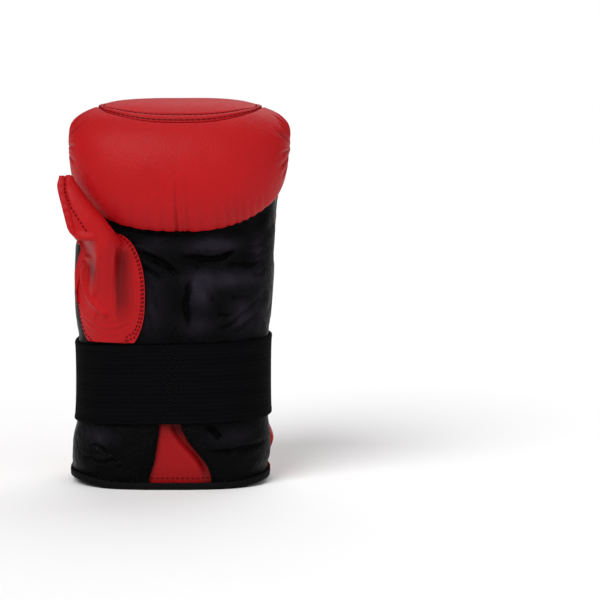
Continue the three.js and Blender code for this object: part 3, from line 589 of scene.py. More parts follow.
def slab_faces(rows, columns, coarse=1):
    """Faces of a closed sheet: an outer grid, an inner grid turned round, which may be twice as coarse, and
    the four edge walls."""
    size = rows * columns
    inner_rows, inner_columns = (rows - 1) // coarse + 1, (columns - 1) // coarse + 1
    faces = grid_faces(rows, columns).tolist()
    faces += grid_faces(inner_rows, inner_columns, size)[:, ::-1].tolist()
    top = np.arange(columns)
    side = np.arange(rows) * columns
    inner_top = size + np.arange(inner_columns)
    inner_side = size + np.arange(inner_rows) * inner_columns
    for outer, inner, turned in (
        (top, inner_top, False),
        ((rows - 1) * columns + top, (inner_rows - 1) * inner_columns + inner_top, True),
        (side, inner_side, True),
        (side + columns - 1, inner_side + inner_columns - 1, False),
    ):
        parts = [outer[i : len(outer) - coarse + i : coarse] for i in range(coarse + 1)]
        parts[-1] = outer[coarse::coarse]
        wall = np.stack(parts + [inner[1:], inner[:-1]], axis=-1)
        faces += (wall if turned else wall[:, ::-1]).tolist()
    return faces


def even_angles(count, square, width, depth):
    """Angles from -90 to 90 at even steps along half a superellipse."""
    fine = np.linspace(-90.0, 90.0, 6001)
    x = width * signed_power(np.sin(np.radians(fine)), 2.0 / square)
    y = depth * np.abs(np.cos(np.radians(fine))) ** (2.0 / square)
    run = np.concatenate([[0.0], np.cumsum(np.hypot(np.diff(x), np.diff(y)))])
    return np.interp(np.linspace(0.0, run[-1], count), run, fine)


def make_mesh(name, points, faces, uv=None, **marks):
    """A mesh object from points in millimetres and faces. uv holds one pair for each point. Each mark is a
    share from 0 to 1 at each point, such as how much painted shade it gets in a groove, kept as an attribute."""
    mesh = bpy.data.meshes.new(name)
    mesh.from_pydata((points.reshape(-1, 3) * MM).tolist(), [], [tuple(face) for face in faces])
    if uv is not None:
        layer = mesh.uv_layers.new(name="surface")
        loops = np.empty(len(mesh.loops), dtype=np.int32)
        mesh.loops.foreach_get("vertex_index", loops)
        layer.data.foreach_set("uv", uv.reshape(-1, 2)[loops].astype(np.float32).ravel())
    for mark, values in marks.items():
        layer = mesh.attributes.new(mark, "FLOAT", "POINT")
        layer.data.foreach_set("value", np.clip(values, 0.0, 1.0).astype(np.float32).ravel())
    mesh.validate()
    mesh.shade_smooth()
    made = bpy.data.objects.new(name, mesh)
    bpy.context.scene.collection.objects.link(made)
    return made


def finish_piece(piece, material, nodes=()):
    """Gives a piece its material, lets it ride with the glove and hides the imported solids that it stands
    for.
    """
    piece.data.materials.clear()
    piece.data.materials.append(material)
    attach(piece, "root")
    for solid in nodes:
        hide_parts(solid)
    return piece


def apply_modifiers(piece):
    """Makes the piece's modifiers part of its mesh."""
    bpy.context.view_layer.update()
    graph = bpy.context.evaluated_depsgraph_get()
    made = bpy.data.meshes.new_from_object(piece.evaluated_get(graph))
    piece.modifiers.clear()
    old = piece.data
    piece.data = made
    bpy.data.meshes.remove(old)


def weld(piece):
    """Merges points that lie together."""
    piece.modifiers.new("weld", "WELD").merge_threshold = 0.000002
    apply_modifiers(piece)


def add_wall(piece, thickness):
    """Gives an open sheet its thickness in millimetres, inward from its face."""
    wall = piece.modifiers.new("wall", "SOLIDIFY")
    wall.thickness = thickness * MM
    wall.offset = -1.0


def fold_depth(x, y, z, folds):
    """The sum of folds: each is a valley along a bent line that fades out at both ends, with a soft rise on
    its upper side. A gentle unevenness moves the lines about."""
    x = x + 0.9 * waves(x, y, z, 13.0)
    z = z + 0.9 * waves(z, x, y, 11.0)
    depth = np.zeros(np.shape(x))
    for deep, width, path in folds:
        path = np.array(path)
        steps = np.hypot(*np.diff(path, axis=0).T)
        run = np.concatenate([[0.0], np.cumsum(steps)]) / steps.sum()
        off = np.full(np.shape(x), 1e9)
        side = np.zeros(np.shape(x))
        reach = np.zeros(np.shape(x))
        for i, (start, stop) in enumerate(zip(path[:-1], path[1:])):
            way = (stop - start) / steps[i]
            along = np.clip(((x - start[0]) * way[0] + (z - start[1]) * way[1]) / steps[i], 0.0, 1.0)
            gap_x = x - mix(start[0], stop[0], along)
            gap_z = z - mix(start[1], stop[1], along)
            gap = np.hypot(gap_x, gap_z)
            nearer = gap < off
            off = np.where(nearer, gap, off)
            side = np.where(nearer, np.sign(gap_z * way[0] - gap_x * way[1]) * np.sign(way[0] + 1e-6), side)
            reach = np.where(nearer, mix(run[i], run[i + 1], along), reach)
        taper = smooth(reach, 0.0, 0.28) * (1.0 - smooth(reach, 0.72, 1.0))
        thin = width * (0.45 + 0.55 * taper)
        rise = bell(off - 1.9 * width, 1.2 * width) * (0.25 + 0.25 * side)
        depth += deep * taper * (bell(off, thin) - rise)
    return depth


def gather_depth(place, across, rows, sign):
    """Creases that run inward from one end of the roll. Each has its own place along the shell, a bell
    section that widens inward, and a soft rise on both sides."""
    depth = np.zeros(np.broadcast(place, across).shape)
    angle = across * sign
    for where, reach, deep, width, lean in zip(*(rows[name] for name in rows)):
        inward = np.clip((angle - reach) / (90.0 - reach), 0.0, 1.0)
        centre = where + lean * (1.0 - inward) * 0.035
        broad = width * (1.35 - 0.5 * inward)
        off = (place - centre) * SHELL_LENGTH
        valley = bell(off, broad)
        rise = bell(np.abs(off) - 2.0 * broad, broad)
        depth += deep * smooth(inward, 0.0, 0.5) * (valley - 0.3 * rise)
    return depth


def waves(x, y, z, size):
    """A soft uneven field from -1 to 1: a few crossed sines, with size the wave length."""
    k = 2.0 * np.pi / size
    a = np.sin(k * (0.83 * x + 0.41 * y + 0.37 * z) + 1.3)
    b = np.sin(k * (-0.52 * x + 0.66 * y + 0.71 * z) * 1.31 + 4.1)
    c = np.sin(k * (0.24 * x - 0.79 * y + 0.92 * z) * 0.77 + 2.2)
    return (a + b + c + a * b) / 4.0


# Materials


def new_group(name, inputs, outputs):
    """A node group with named sockets, from the kind and the default of each input and the kind of each
    output. It comes with the outputs of its input node and the inputs of its output node."""
    tree = bpy.data.node_groups.new(name, "ShaderNodeTree")
    for label, (kind, default) in inputs.items():
        made = tree.interface.new_socket(name=label, in_out="INPUT", socket_type="NodeSocket" + kind)
        if default is not None:
            made.default_value = default
    for label, kind in outputs.items():
        tree.interface.new_socket(name=label, in_out="OUTPUT", socket_type="NodeSocket" + kind)
    return tree, tree.nodes.new("NodeGroupInput").outputs, tree.nodes.new("NodeGroupOutput").inputs


def node(tree, kind, **inputs):
    """A node with its plain values set by input name."""
    made = tree.nodes.new(kind)
    for name, value in inputs.items():
        made.inputs[name.replace("_", " ")].default_value = value
    return made


def math_node(tree, operation, a, b=None):
    """A maths node whose inputs are links or plain numbers."""
    made = tree.nodes.new("ShaderNodeMath")
    made.operation = operation
    for i, value in enumerate([a, b]):
        if value is None:
            continue
        if isinstance(value, (int, float)):
            made.inputs[i].default_value = value
        else:
            tree.links.new(value, made.inputs[i])
    return made.outputs[0]


def times(tree, a, b):
    """The product of two links or plain numbers."""
    return math_node(tree, "MULTIPLY", a, b)


def plus(tree, a, b):
    """The sum of two links or plain numbers."""
    return math_node(tree, "ADD", a, b)


def range_node(tree, value, low, high, to_low, to_high):
    """Maps a value from one range onto another, clamped."""
    limits = {"From_Min": low, "From_Max": high, "To_Min": to_low, "To_Max": to_high}
    made = node(tree, "ShaderNodeMapRange", **limits)
    tree.links.new(value, made.inputs["Value"])
    return made.outputs["Result"]


def noise(tree, place, **inputs):
    """A noise texture at a place, with its other inputs set by name."""
    made = node(tree, "ShaderNodeTexNoise", **inputs)
    tree.links.new(place, made.inputs["Vector"])
    return made


def object_place(tree):
    """The place on the object, in metres."""
    return tree.nodes.new("ShaderNodeTexCoord").outputs["Object"]


def attribute(tree, name):
    """The value of one of the piece's own attributes."""
    made = tree.nodes.new("ShaderNodeAttribute")
    made.attribute_name = name
    return made.outputs["Fac"]


def leather_group():
    """Leather grain on object coordinates: rounded cells for pores, finer noise between them, soft
    wrinkles, and a slow change of tone."""
    tree, given, result = new_group(
        "leather grain",
        {
            "Cells per metre": ("Float", 1100.0),
            "Wrinkles per metre": ("Float", 90.0),
            "Wrinkle share": ("Float", 0.4),
        },
        {"Height": "Float", "Tone": "Float", "Pores": "Float"},
    )
    place = object_place(tree)
    bend = noise(tree, place, Scale=260.0, Detail=2.0)
    nudge = tree.nodes.new("ShaderNodeVectorMath")
    nudge.operation = "MULTIPLY_ADD"
    nudge.inputs[1].default_value = (0.0011, 0.0011, 0.0011)
    tree.links.new(bend.outputs["Color"], nudge.inputs[0])
    tree.links.new(place, nudge.inputs[2])
    cells = node(tree, "ShaderNodeTexVoronoi")
    cells.feature = "SMOOTH_F1"
    cells.inputs["Smoothness"].default_value = 0.35
    tree.links.new(nudge.outputs[0], cells.inputs["Vector"])
    tree.links.new(given["Cells per metre"], cells.inputs["Scale"])
    pebble = range_node(tree, cells.outputs["Distance"], 0.1, 0.75, 1.0, 0.0)
    fine = noise(tree, place, Detail=5.0, Roughness=0.62)
    tree.links.new(times(tree, given["Cells per metre"], 1.7), fine.inputs["Scale"])
    folds = noise(tree, place, Detail=6.0, Roughness=0.55, Distortion=1.4)
    tree.links.new(given["Wrinkles per metre"], folds.inputs["Scale"])
    away = math_node(tree, "ABSOLUTE", math_node(tree, "SUBTRACT", folds.outputs["Fac"], 0.5))
    ridge = range_node(tree, away, 0.0, 0.11, 0.0, 1.0)
    grain = plus(tree, times(tree, pebble, 0.62), times(tree, fine.outputs["Fac"], 0.38))
    keep = math_node(tree, "SUBTRACT", 1.0, given["Wrinkle share"])
    height = plus(tree, times(tree, grain, keep), times(tree, ridge, given["Wrinkle share"]))
    slow = noise(tree, place, Scale=34.0, Detail=4.0, Roughness=0.6)
    tree.links.new(height, result["Height"])
    tree.links.new(slow.outputs["Fac"], result["Tone"])
    tree.links.new(pebble, result["Pores"])
    return tree


def painted_shade_group():
    """Paints shade into a colour: darkens it by the piece's own attribute, which is high where it lies in a
    groove or a crease or in other shaded places.
    """
    tree, given, result = new_group(
        "groove shade", {"Colour": ("Color", None), "Depth": ("Float", 0.7)}, {"Shaded": "Color"}
    )
    made = tree.nodes.new("ShaderNodeMix")
    made.data_type = "RGBA"
    made.blend_type = "MULTIPLY"
    tree.links.new(times(tree, attribute(tree, "hollow"), given["Depth"]), made.inputs["Factor"])
    tree.links.new(given["Colour"], made.inputs["A"])
    made.inputs["B"].default_value = PAINTED_SHADE_COLOUR
    tree.links.new(made.outputs["Result"], result["Shaded"])
    return tree


def weave_group():
    """Webbing on the piece's own map in metres: slanted yarns in bands that lean both ways in turn, so
    the band shows a herringbone, crossed by finer picks and roughened by a fuzz."""
    tree, given, result = new_group(
        "webbing weave",
        {
            "Map": ("Vector", None),
            "Yarns per metre": ("Float", 620.0),
            "Slant": ("Float", 0.8),
            "Band width": ("Float", 0.0046),
        },
        {"Height": "Float", "Tone": "Float"},
    )
    split = tree.nodes.new("ShaderNodeSeparateXYZ")
    tree.links.new(given["Map"], split.inputs[0])
    u, v = split.outputs["X"], split.outputs["Y"]
    lean = times(tree, math_node(tree, "PINGPONG", v, given["Band width"]), given["Slant"])
    turned = times(tree, plus(tree, u, lean), given["Yarns per metre"])
    yarn = math_node(tree, "ABSOLUTE", math_node(tree, "SINE", times(tree, turned, np.pi)))
    rows = times(tree, v, given["Yarns per metre"])
    pick = math_node(tree, "ABSOLUTE", math_node(tree, "SINE", times(tree, rows, 0.6 * np.pi)))
    height = plus(tree, times(tree, yarn, 0.7), times(tree, pick, 0.3))
    fuzz = noise(tree, given["Map"], Scale=900.0, Detail=4.0)
    tree.links.new(plus(tree, height, times(tree, fuzz.outputs["Fac"], 0.35)), result["Height"])
    tree.links.new(height, result["Tone"])
    return tree


def colour_mix(tree, factor, dark, light):
    """A colour that goes from dark to light with the factor."""
    made = tree.nodes.new("ShaderNodeMix")
    made.data_type = "RGBA"
    made.inputs["A"].default_value = (*dark, 1.0)
    made.inputs["B"].default_value = (*light, 1.0)
    tree.links.new(factor, made.inputs["Factor"])
    return made.outputs["Result"]


def bump(tree, height, distance):
    """A bump node's normal from a height."""
    made = node(tree, "ShaderNodeBump", Strength=1.0, Distance=distance)
    tree.links.new(height, made.inputs["Height"])
    return made.outputs["Normal"]


def new_material(name):
    """A material with its shader and its node tree."""
    made = bpy.data.materials.new(name)
    made.use_nodes = True
    tree = made.node_tree
    shader = tree.nodes["Principled BSDF"]
    return made, tree, shader


def place_group(tree, name, **values):
    """A shared node group, built when it is first asked for, placed in a material with its own values."""
    if name not in bpy.data.node_groups:
        GROUPS[name]()
    made = tree.nodes.new("ShaderNodeGroup")
    made.node_tree = bpy.data.node_groups[name]
    for label, value in values.items():
        made.inputs[label.replace("_", " ")].default_value = value
    return made


def leather_material(name, dark, light, look):
    """Leather: grain and wrinkles in the bump; tone, painted shade in grooves and creases and, where asked,
    painted sheen and shade from the piece's attribute in the colour; pores and tone in the roughness.
    """
    made, tree, shader = new_material(name)
    grain = place_group(tree, "leather grain", **look["grain"])
    tone = range_node(tree, grain.outputs["Tone"], 0.32, 0.68, 0.0, 1.0)
    # Painted light: where asked, the tone is scaled by the piece's painted sheen and shade attribute
    if look["gleam"]:
        painted_light_share = range_node(tree, attribute(tree, "gleam"), 0.35, 1.0, 0.0, 1.0)
        tone = times(tree, range_node(tree, grain.outputs["Tone"], 0.3, 0.62, 0.25, 1.4), painted_light_share)
    shaded = place_group(tree, "groove shade", Depth=look["shade"])
    tree.links.new(colour_mix(tree, tone, dark, light), shaded.inputs["Colour"])
    tree.links.new(shaded.outputs["Shaded"], shader.inputs["Base Color"])
    rough = range_node(tree, grain.outputs["Tone"], 0.3, 0.7, *look["rough"])
    rough = plus(tree, rough, times(tree, grain.outputs["Pores"], look["pore_rough"]))
    tree.links.new(rough, shader.inputs["Roughness"])
    tree.links.new(bump(tree, grain.outputs["Height"], look["bump"]), shader.inputs["Normal"])
    shader.inputs["Specular IOR Level"].default_value = look["specular"]
    return made


def webbing_material(name, dark, light, weave, depth, rough):
    """Webbing: the weave in the bump, the colour and the roughness."""
    made, tree, shader = new_material(name)
    where = tree.nodes.new("ShaderNodeUVMap")
    where.uv_map = "surface"
    woven = place_group(tree, "webbing weave", **weave)
    tree.links.new(where.outputs["UV"], woven.inputs["Map"])
    tone = range_node(tree, woven.outputs["Tone"], 0.1, 0.95, 0.0, 1.0)
    tree.links.new(colour_mix(tree, tone, dark, light), shader.inputs["Base Color"])
    matt = range_node(tree, woven.outputs["Tone"], 0.0, 1.0, rough + 0.08, rough - 0.05)
    tree.links.new(matt, shader.inputs["Roughness"])
    tree.links.new(bump(tree, woven.outputs["Height"], depth), shader.inputs["Normal"])
    shader.inputs["Specular IOR Level"].default_value = 0.04
    return made


def thread_material(name, dark, light, rough):
    """Thread: a fine twist across the object, with painted shade in the twist's grooves."""
    made, tree, shader = new_material(name)
    twist = noise(tree, object_place(tree), Scale=2600.0, Detail=2.0)
    tree.links.new(colour_mix(tree, twist.outputs["Fac"], dark, light), shader.inputs["Base Color"])
    tree.links.new(bump(tree, twist.outputs["Fac"], 0.0002), shader.inputs["Normal"])
    shader.inputs["Roughness"].default_value = rough
    shader.inputs["Specular IOR Level"].default_value = 0.03
    return made


GROUPS = {"leather grain": leather_group, "webbing weave": weave_group, "groove shade": painted_shade_group}
# The dark colour that painted shade multiplies into the leather
PAINTED_SHADE_COLOUR = (0.12, 0.04, 0.05, 1.0)


def leather(cells, wrinkles, share, rough, pore_rough, bump, shade, gleam, specular):
    """The values of a leather finish."""
    grain = {"Cells_per_metre": cells, "Wrinkles_per_metre": wrinkles, "Wrinkle_share": share}
    look = {"grain": grain, "rough": rough, "pore_rough": pore_rough, "bump": bump}
    return {"look": look | {"shade": shade, "gleam": gleam, "specular": specular}}


def webbing(yarns, slant, band, depth, rough):
    """The values of a woven finish."""
    weave = {"Yarns_per_metre": yarns, "Slant": slant, "Band_width": band}
    return {"weave": weave, "depth": depth, "rough": rough}


# Each finish: what makes it, its colour among the looks, the shares of that colour where it is dark and
# where it is light, and its own values
FINISHES = {
    "red leather": (
        leather_material, "red_leather", 0.96, 1.05,
        leather(1000.0, 70.0, 0.3, (0.4, 0.5), 0.06, 0.00022, 0.85, False, 0.15),
    ),
    # The black leather's light end is partly its own random tone and partly the colour of the painted sheen
    # on the palm
    "black leather": (
        leather_material, "black_leather", 0.3, 11.0,
        leather(900.0, 120.0, 0.4, (0.42, 0.3), 0.08, 0.0005, 0.9, True, 0.045),
    ),
    "wrist webbing": (webbing_material, "webbing", 0.1, 2.2, webbing(620.0, 0.9, 0.0052, 0.0006, 0.75)),
    "strap face": (webbing_material, "webbing", 0.8, 2.6, webbing(1500.0, 0.2, 0.5, 0.00022, 0.66)),
    "loop pile": (webbing_material, "webbing", 0.4, 1.2, webbing(1900.0, 1.3, 0.0011, 0.0006, 0.92)),
    "edge tape": (webbing_material, "binding", 0.6, 1.25, webbing(1200.0, 0.5, 0.5, 0.0002, 0.55)),
    "red thread": (thread_material, "red_thread", 0.6, 1.0, {"rough": 0.5}),
    "black thread": (thread_material, "black_thread", 0.6, 1.0, {"rough": 0.55}),
}


def material(name):
    """One of the glove's materials by name, built when it is first asked for."""
    if name not in bpy.data.materials:
        make, source, dark, light, values = FINISHES[name]
        colour = getattr(bpy.context.scene.glove_looks, source)
        make(name, tuple(dark * c for c in colour), tuple(light * c for c in colour), **values)
    return bpy.data.materials[name]


# Settings


def colour(name, description, default):
    """A colour setting in linear light."""
    return bpy.props.FloatVectorProperty(
        name=name, description=description, default=default, min=0.0, max=1.0, subtype="COLOR"
    )


def length(name, description, default, low, high):
    """A length setting in metres."""
    return bpy.props.FloatProperty(
        name=name, description=description, default=default, min=low, max=high, unit="LENGTH"
    )


class GloveLooks(bpy.types.PropertyGroup):
    """Colours of the leather, webbing and thread, in linear light."""

    red_leather: colour("Red leather", "Colour of the padded shell", (0.415, 0.0042, 0.0068))
    black_leather: colour("Black leather", "Colour of the palm", (0.0016, 0.0013, 0.002))
    webbing: colour("Webbing", "Colour of the wrist band and the strap", (0.0012, 0.0012, 0.0016))
    binding: colour("Binding", "Colour of the hem tape", (0.004, 0.0036, 0.0038))
    red_thread: colour("Red thread", "Colour of the stitches on red leather", (0.15, 0.003, 0.005))
    black_thread: colour("Black thread", "Colour of the stitches on palm and hem", (0.001, 0.001, 0.0012))


class GloveSizes(bpy.types.PropertyGroup):
    """Sizes of the stitching and the relief."""

    stitch_pitch: length("Stitch pitch", "Distance from one stitch to the next", 0.0034, 0.001, 0.01)
    stitch_width: length("Stitch width", "Thickness of the thread", 0.0008, 0.0003, 0.002)
    row_gap: length("Row gap", "Distance between the two rows of a double topstitch", 0.0047, 0.002, 0.01)
    edge_gap: length("Edge gap", "Distance from the panel's edge to the first row", 0.0014, 0.001, 0.01)
    crease_share: bpy.props.FloatProperty(
        name="Crease depth", description="Share of the full depth of the leather's creases", subtype="FACTOR",
        default=1.0, min=0.0, max=1.5,
    )


def sewing():
    """The pitch of the stitches and the width of the thread in millimetres."""
    sizes = bpy.context.scene.glove_sizes
    return sizes.stitch_pitch / MM, sizes.stitch_width / MM


# Stitching


def stitches(name, centres, tangents, normals, length, width, finish):
    """One mesh of small rounded bars, one for each stitch: a six-sided tube of five rings, thickest in
    the middle, whose ends dip by a third of its width into the leather."""
    tangents = tangents / np.linalg.norm(tangents, axis=-1, keepdims=True)
    normals = normals / np.linalg.norm(normals, axis=-1, keepdims=True)
    sides = np.cross(normals, tangents)
    turns = np.linspace(0.0, 2.0 * np.pi, 7)[:-1]
    along = (np.array([-0.5, -0.36, 0.0, 0.36, 0.5]) * length)[None, :, None, None]
    radius = (np.array([0.18, 0.82, 1.0, 0.82, 0.18]) * 0.5 * width)[None, :, None, None]
    bow = (np.array([-0.35, 0.0, 0.22, 0.0, -0.35]) * width)[None, :, None, None]
    sine, cosine = (wave(turns)[None, None, :, None] for wave in (np.sin, np.cos))
    centres, tangents, normals, sides = (v[:, None, None, :] for v in (centres, tangents, normals, sides))
    ring = centres + tangents * along + normals * (bow + radius * sine) + sides * (radius * cosine)
    count, ring_count, turn_count = ring.shape[:3]
    per_stitch = ring_count * turn_count
    last = per_stitch - turn_count
    tube = grid_faces(ring_count, turn_count, wrap=True)
    start_cap = np.array([[5, 4, 3, 2], [5, 2, 1, 0]])
    end_cap = np.array([[0, 1, 2, 3], [0, 3, 4, 5]])
    caps = np.concatenate([start_cap, end_cap + last])
    starts = (np.arange(count) * per_stitch)[:, None, None]
    faces, cap_faces = ((part[None] + starts).reshape(-1, 4) for part in (tube, caps))
    made = make_mesh(name, ring, np.concatenate([faces, cap_faces]))
    return finish_piece(made, material(finish))


def along_line(line, normals, pitch):
    """Evenly spaced points on a line of points, with the line's direction and the normals there."""
    run = np.concatenate([[0.0], np.cumsum(np.linalg.norm(np.diff(line, axis=0), axis=-1))])
    count = max(1, int(run[-1] / pitch))
    at = (np.arange(count) + 0.5) * run[-1] / count

    def pick(values, ahead=0.0):
        return np.stack([np.interp(at + ahead, run, column) for column in values.T], axis=-1)

    return pick(line), pick(line, 0.3) - pick(line, -0.3), pick(normals)


class Rows:
    """Collects the stitches of several rows, to be made into one piece."""

    def __init__(self):
        self.centres = []
        self.tangents = []
        self.normals = []

    def add(self, line, normals, pitch):
        """Adds a row along a line."""
        centres, tangents, directions = along_line(line, normals, pitch)
        self.centres.append(centres)
        self.tangents.append(tangents)
        self.normals.append(directions)

    def make(self, name, length, width, finish):
        """Makes the collected rows into one piece."""
        return stitches(
            name,
            np.concatenate(self.centres),
            np.concatenate(self.tangents),
            np.concatenate(self.normals),
            length,
            width,
            finish,
        )


# Pieces


def shell_base(place, across):
    """The smooth shell, with the angle kept inside its range."""
    return shell_point(place, np.clip(across, -90.0, 90.0), 0.0)


def shell_relief(base, place, across):
    """How far the shell stands out at each point, and how deep it lies in a gather or pucker from 0 to 1,
    which the colour uses as painted shade: a soft unevenness and the bulges beside the hem, less the gathers,
    puckers, side seam and panel's seat."""
    share = bpy.context.scene.glove_sizes.crease_share
    x, y, z = base[..., 0], base[..., 1], base[..., 2]
    depth = gather_depth(place, across, GATHERS_PINKY, 1.0)
    depth = depth + gather_depth(place, across, GATHERS_THUMB, -1.0)
    stretch = np.linalg.norm(shell_base(place + 0.004, across) - shell_base(place - 0.004, across), axis=-1)
    depth = depth * smooth(stretch / (0.008 * SHELL_LENGTH), 0.02, 0.5)
    lip = smooth(place, 0.9, 0.975) * (1.0 - smooth(place, 0.993, 1.0))
    fold = smooth(place, 0.86, 0.93) * (1.0 - smooth(place, 0.993, 1.0))
    drawn = np.zeros_like(x)
    for centre, deep, width in LIP_PUCKERS:
        drawn = drawn + deep * lip * bell(x - centre, width)
    drawn = drawn + 0.6 * fold * bell(x - 2.0, 0.9) + 0.35 * fold * bell(x - 8.5, 0.9)
    seam = bell(90.0 - np.abs(across), 4.0) * (0.85 + 0.2 * waves(x, y, z, 9.0))
    soft = 0.28 * waves(x, y, z, 62.0) + 0.12 * waves(z, x, y, 21.0)
    held = 0.8 * smooth(np.abs(across), 72.0, 84.0) * (1.0 - smooth(place, 0.36, 0.44))
    held = held + PANEL_SEAT * under_panel(place, across)
    bulge = 3.0 * bell(z - 25.0, 7.5) * smooth(across, 58.0, 80.0)
    bulge = bulge + 1.2 * bell(z - 25.0, 7.5) * smooth(-across, 58.0, 80.0)
    lift = smooth(place, 0.015, 0.06) * (soft + bulge - held - share * (depth + drawn + seam))
    return lift, np.clip((depth + 0.6 * drawn) / 2.6, 0.0, 1.0)


def shell_surface(place, across):
    """The shell with its relief, and how deep each point lies in a gather or pucker, the mask of its painted
    shade.
    """
    lift, sunk = shell_relief(shell_base(place, across), place, across)
    return relief(shell_base, place, across, 0.004, -1.5, lambda base: lift)[0], sunk


class GLOVE_OT_shell(bpy.types.Operator):
    """Builds the padded shell as a surface of place along and angle across, with an inner wall"""

    bl_idname = "glove.shell"
    bl_label = "Padded Shell"

    def execute(self, context):
        start = EDGE_HEIGHT / SHELL_LENGTH
        place = spans((start, 0.44, 81), (0.44, 1.0, 241))
        place, across = grid_of(place, even_angles(221, 3.0, 69.0, 45.0))
        outer, sunk = shell_surface(place, across)
        place, across = place[::2, ::2], across[::2, ::2]
        pad = read(SHELL, "place", "pad", place)
        side_pad = read(SHELL, "place", "side_pad", place)
        inner = shell_point(place, across, -pad, -side_pad)
        points = np.concatenate([outer.reshape(-1, 3), inner.reshape(-1, 3)])
        # Painted shade in the gathers and puckers of the outer face, none on the inner wall
        hollow = np.concatenate([sunk.ravel(), np.zeros(inner.shape[0] * inner.shape[1])])
        piece = make_mesh("padded_shell", points, slab_faces(*outer.shape[:2], 2), hollow=hollow)
        recalculate(piece)
        finish_piece(piece, material("red leather"), ["back_pad"])
        return {"FINISHED"}


def panel_ends(over):
    """The places along the shell of the panel's low end and front end, at shares over it. The ends bow with
    the square of the distance from the middle, and the front corners are cut back."""
    off = np.abs(2.0 * over - 1.0)
    low = (PANEL_LOW_HEIGHT - PANEL_LOW_BOW * (1.0 - off**2)) / SHELL_LENGTH
    return low, PANEL_FRONT_PLACE - PANEL_FRONT_BOW * off**2 - PANEL_CORNER * smooth(off, 0.82, 1.0)


def panel_sides(place, run):
    """The angles across of the panel's thumb side and little finger side, where each side goes from its
    low place to its high one with the run."""
    ends = (("thumb_low", "thumb_high"), ("pinky_low", "pinky_high"))
    return [across_at(SHELL, "place", place, mix(*(PANEL_SIDES[end] for end in side), run)) for side in ends]


def panel_place(up, over):
    """Place and angle of a point of the knuckle panel: up from its low end to its front end, over from
    the thumb side to the little finger side."""
    low, high = panel_ends(over)
    place = mix(low, high, up)
    thumb_side, pinky_side = panel_sides(place, np.minimum(1.0, up * PANEL_SIDE_RUN))
    return place, mix(thumb_side, pinky_side, over)


def under_panel(place, across):
    """1 where the shell lies under the knuckle panel, with a soft step at the panel's edge."""
    at = np.clip(place, PANEL_SIDES_START, PANEL_FRONT_PLACE)
    run = np.minimum(1.0, (at - PANEL_LOW_HEIGHT / SHELL_LENGTH) / PANEL_SHARE * PANEL_SIDE_RUN)
    thumb_side, pinky_side = panel_sides(at, run)
    over = (across - thumb_side) / (pinky_side - thumb_side)
    low, high = panel_ends(np.clip(over, 0.0, 1.0))
    inside = np.minimum(
        np.minimum(over, 1.0 - over) * PANEL_WIDTH,
        np.minimum(place - low, high - place) * SHELL_LENGTH,
    )
    return smooth(inside, *PANEL_SEAT_STEP)


def panel_base(up, over):
    """The underside of the panel, which follows the shell."""
    place, across = panel_place(np.clip(up, 0.0, 1.0), np.clip(over, 0.0, 1.0))
    return shell_point(place, across, SEAT_GAP - PANEL_SEAT)


def panel_edge(up, over):
    """Distance from the panel's edge in millimetres, and the mask of its two stitch rows."""
    sizes = bpy.context.scene.glove_sizes
    edge = edge_distance(up, over, PANEL_RUN, PANEL_WIDTH)
    first = sizes.edge_gap / MM
    second = first + sizes.row_gap / MM
    groove = bell(edge - first, 0.65) + bell(edge - second, 0.65)
    return edge, groove, first, second


def panel_surface(up, over):
    """The panel's outer face and its normals. It turns down at the edges, sinks along the two stitch rows
    and swells a little between and behind them."""
    edge, groove, first, second = panel_edge(up, over)
    swell = bell(edge - 0.5 * (first + second), 1.5)

    def out(base):
        rise = 0.1 + (PANEL_LEATHER - 0.2) * smooth(edge, -0.2, 1.0) - 0.6 * groove + 0.2 * swell
        rise = rise + 0.3 * smooth(edge, second, second + 14.0)
        uneven = 0.22 * waves(base[..., 0], base[..., 1], base[..., 2], 58.0)
        return rise + smooth(edge, second, second + 12.0) * uneven

    return relief(panel_base, up, over, 0.004, -0.01, out)


def panel_rows():
    """The double topstitch round the panel: two loops at equal distances from the edge."""
    sizes = bpy.context.scene.glove_sizes
    pitch = sewing()[0]
    rows = Rows()
    for inset in (sizes.edge_gap / MM, (sizes.edge_gap + sizes.row_gap) / MM):
        du = inset / PANEL_WIDTH
        dv = inset / PANEL_RUN
        side = np.linspace(dv, 1.0 - dv, 220)
        end = np.linspace(du, 1.0 - du, 120)
        for up, over in (
            (side, np.full_like(side, du)),
            (side, np.full_like(side, 1.0 - du)),
            (np.full_like(end, dv), end),
            (np.full_like(end, 1.0 - dv), end),
        ):
            line, normal = panel_surface(up, over)
            rows.add(line + 0.12 * normal, normal, pitch)
    return rows


class GLOVE_OT_panel(bpy.types.Operator):
    """Builds the leather panel over the back and the knuckles, with its double topstitch"""

    bl_idname = "glove.panel"
    bl_label = "Knuckle Panel"

    def execute(self, context):
        rim_up, rim_over = PANEL_RIM / PANEL_RUN, PANEL_RIM / PANEL_WIDTH
        up = spans((0.0, rim_up, 20), (rim_up, 1.0 - rim_up, 140), (1.0 - rim_up, 1.0, 20))
        over = spans((0.0, rim_over, 20), (rim_over, 1.0 - rim_over, 82), (1.0 - rim_over, 1.0, 20))
        up, over = grid_of(up, over)
        points = np.stack([panel_surface(up, over)[0], panel_base(up, over)])
        groove = panel_edge(up, over)[1]
        # Painted shade along the two stitch grooves
        hollow = np.stack([0.75 * groove, np.zeros_like(groove)])
        piece = make_mesh("knuckle_leather", points, slab_faces(*up.shape), hollow=hollow)
        recalculate(piece)
        finish_piece(piece, material("red leather"), ["knuckle_panel"])
        pitch, width = sewing()
        panel_rows().make("panel_stitches", 0.86 * pitch, width, "red thread")
        return {"FINISHED"}


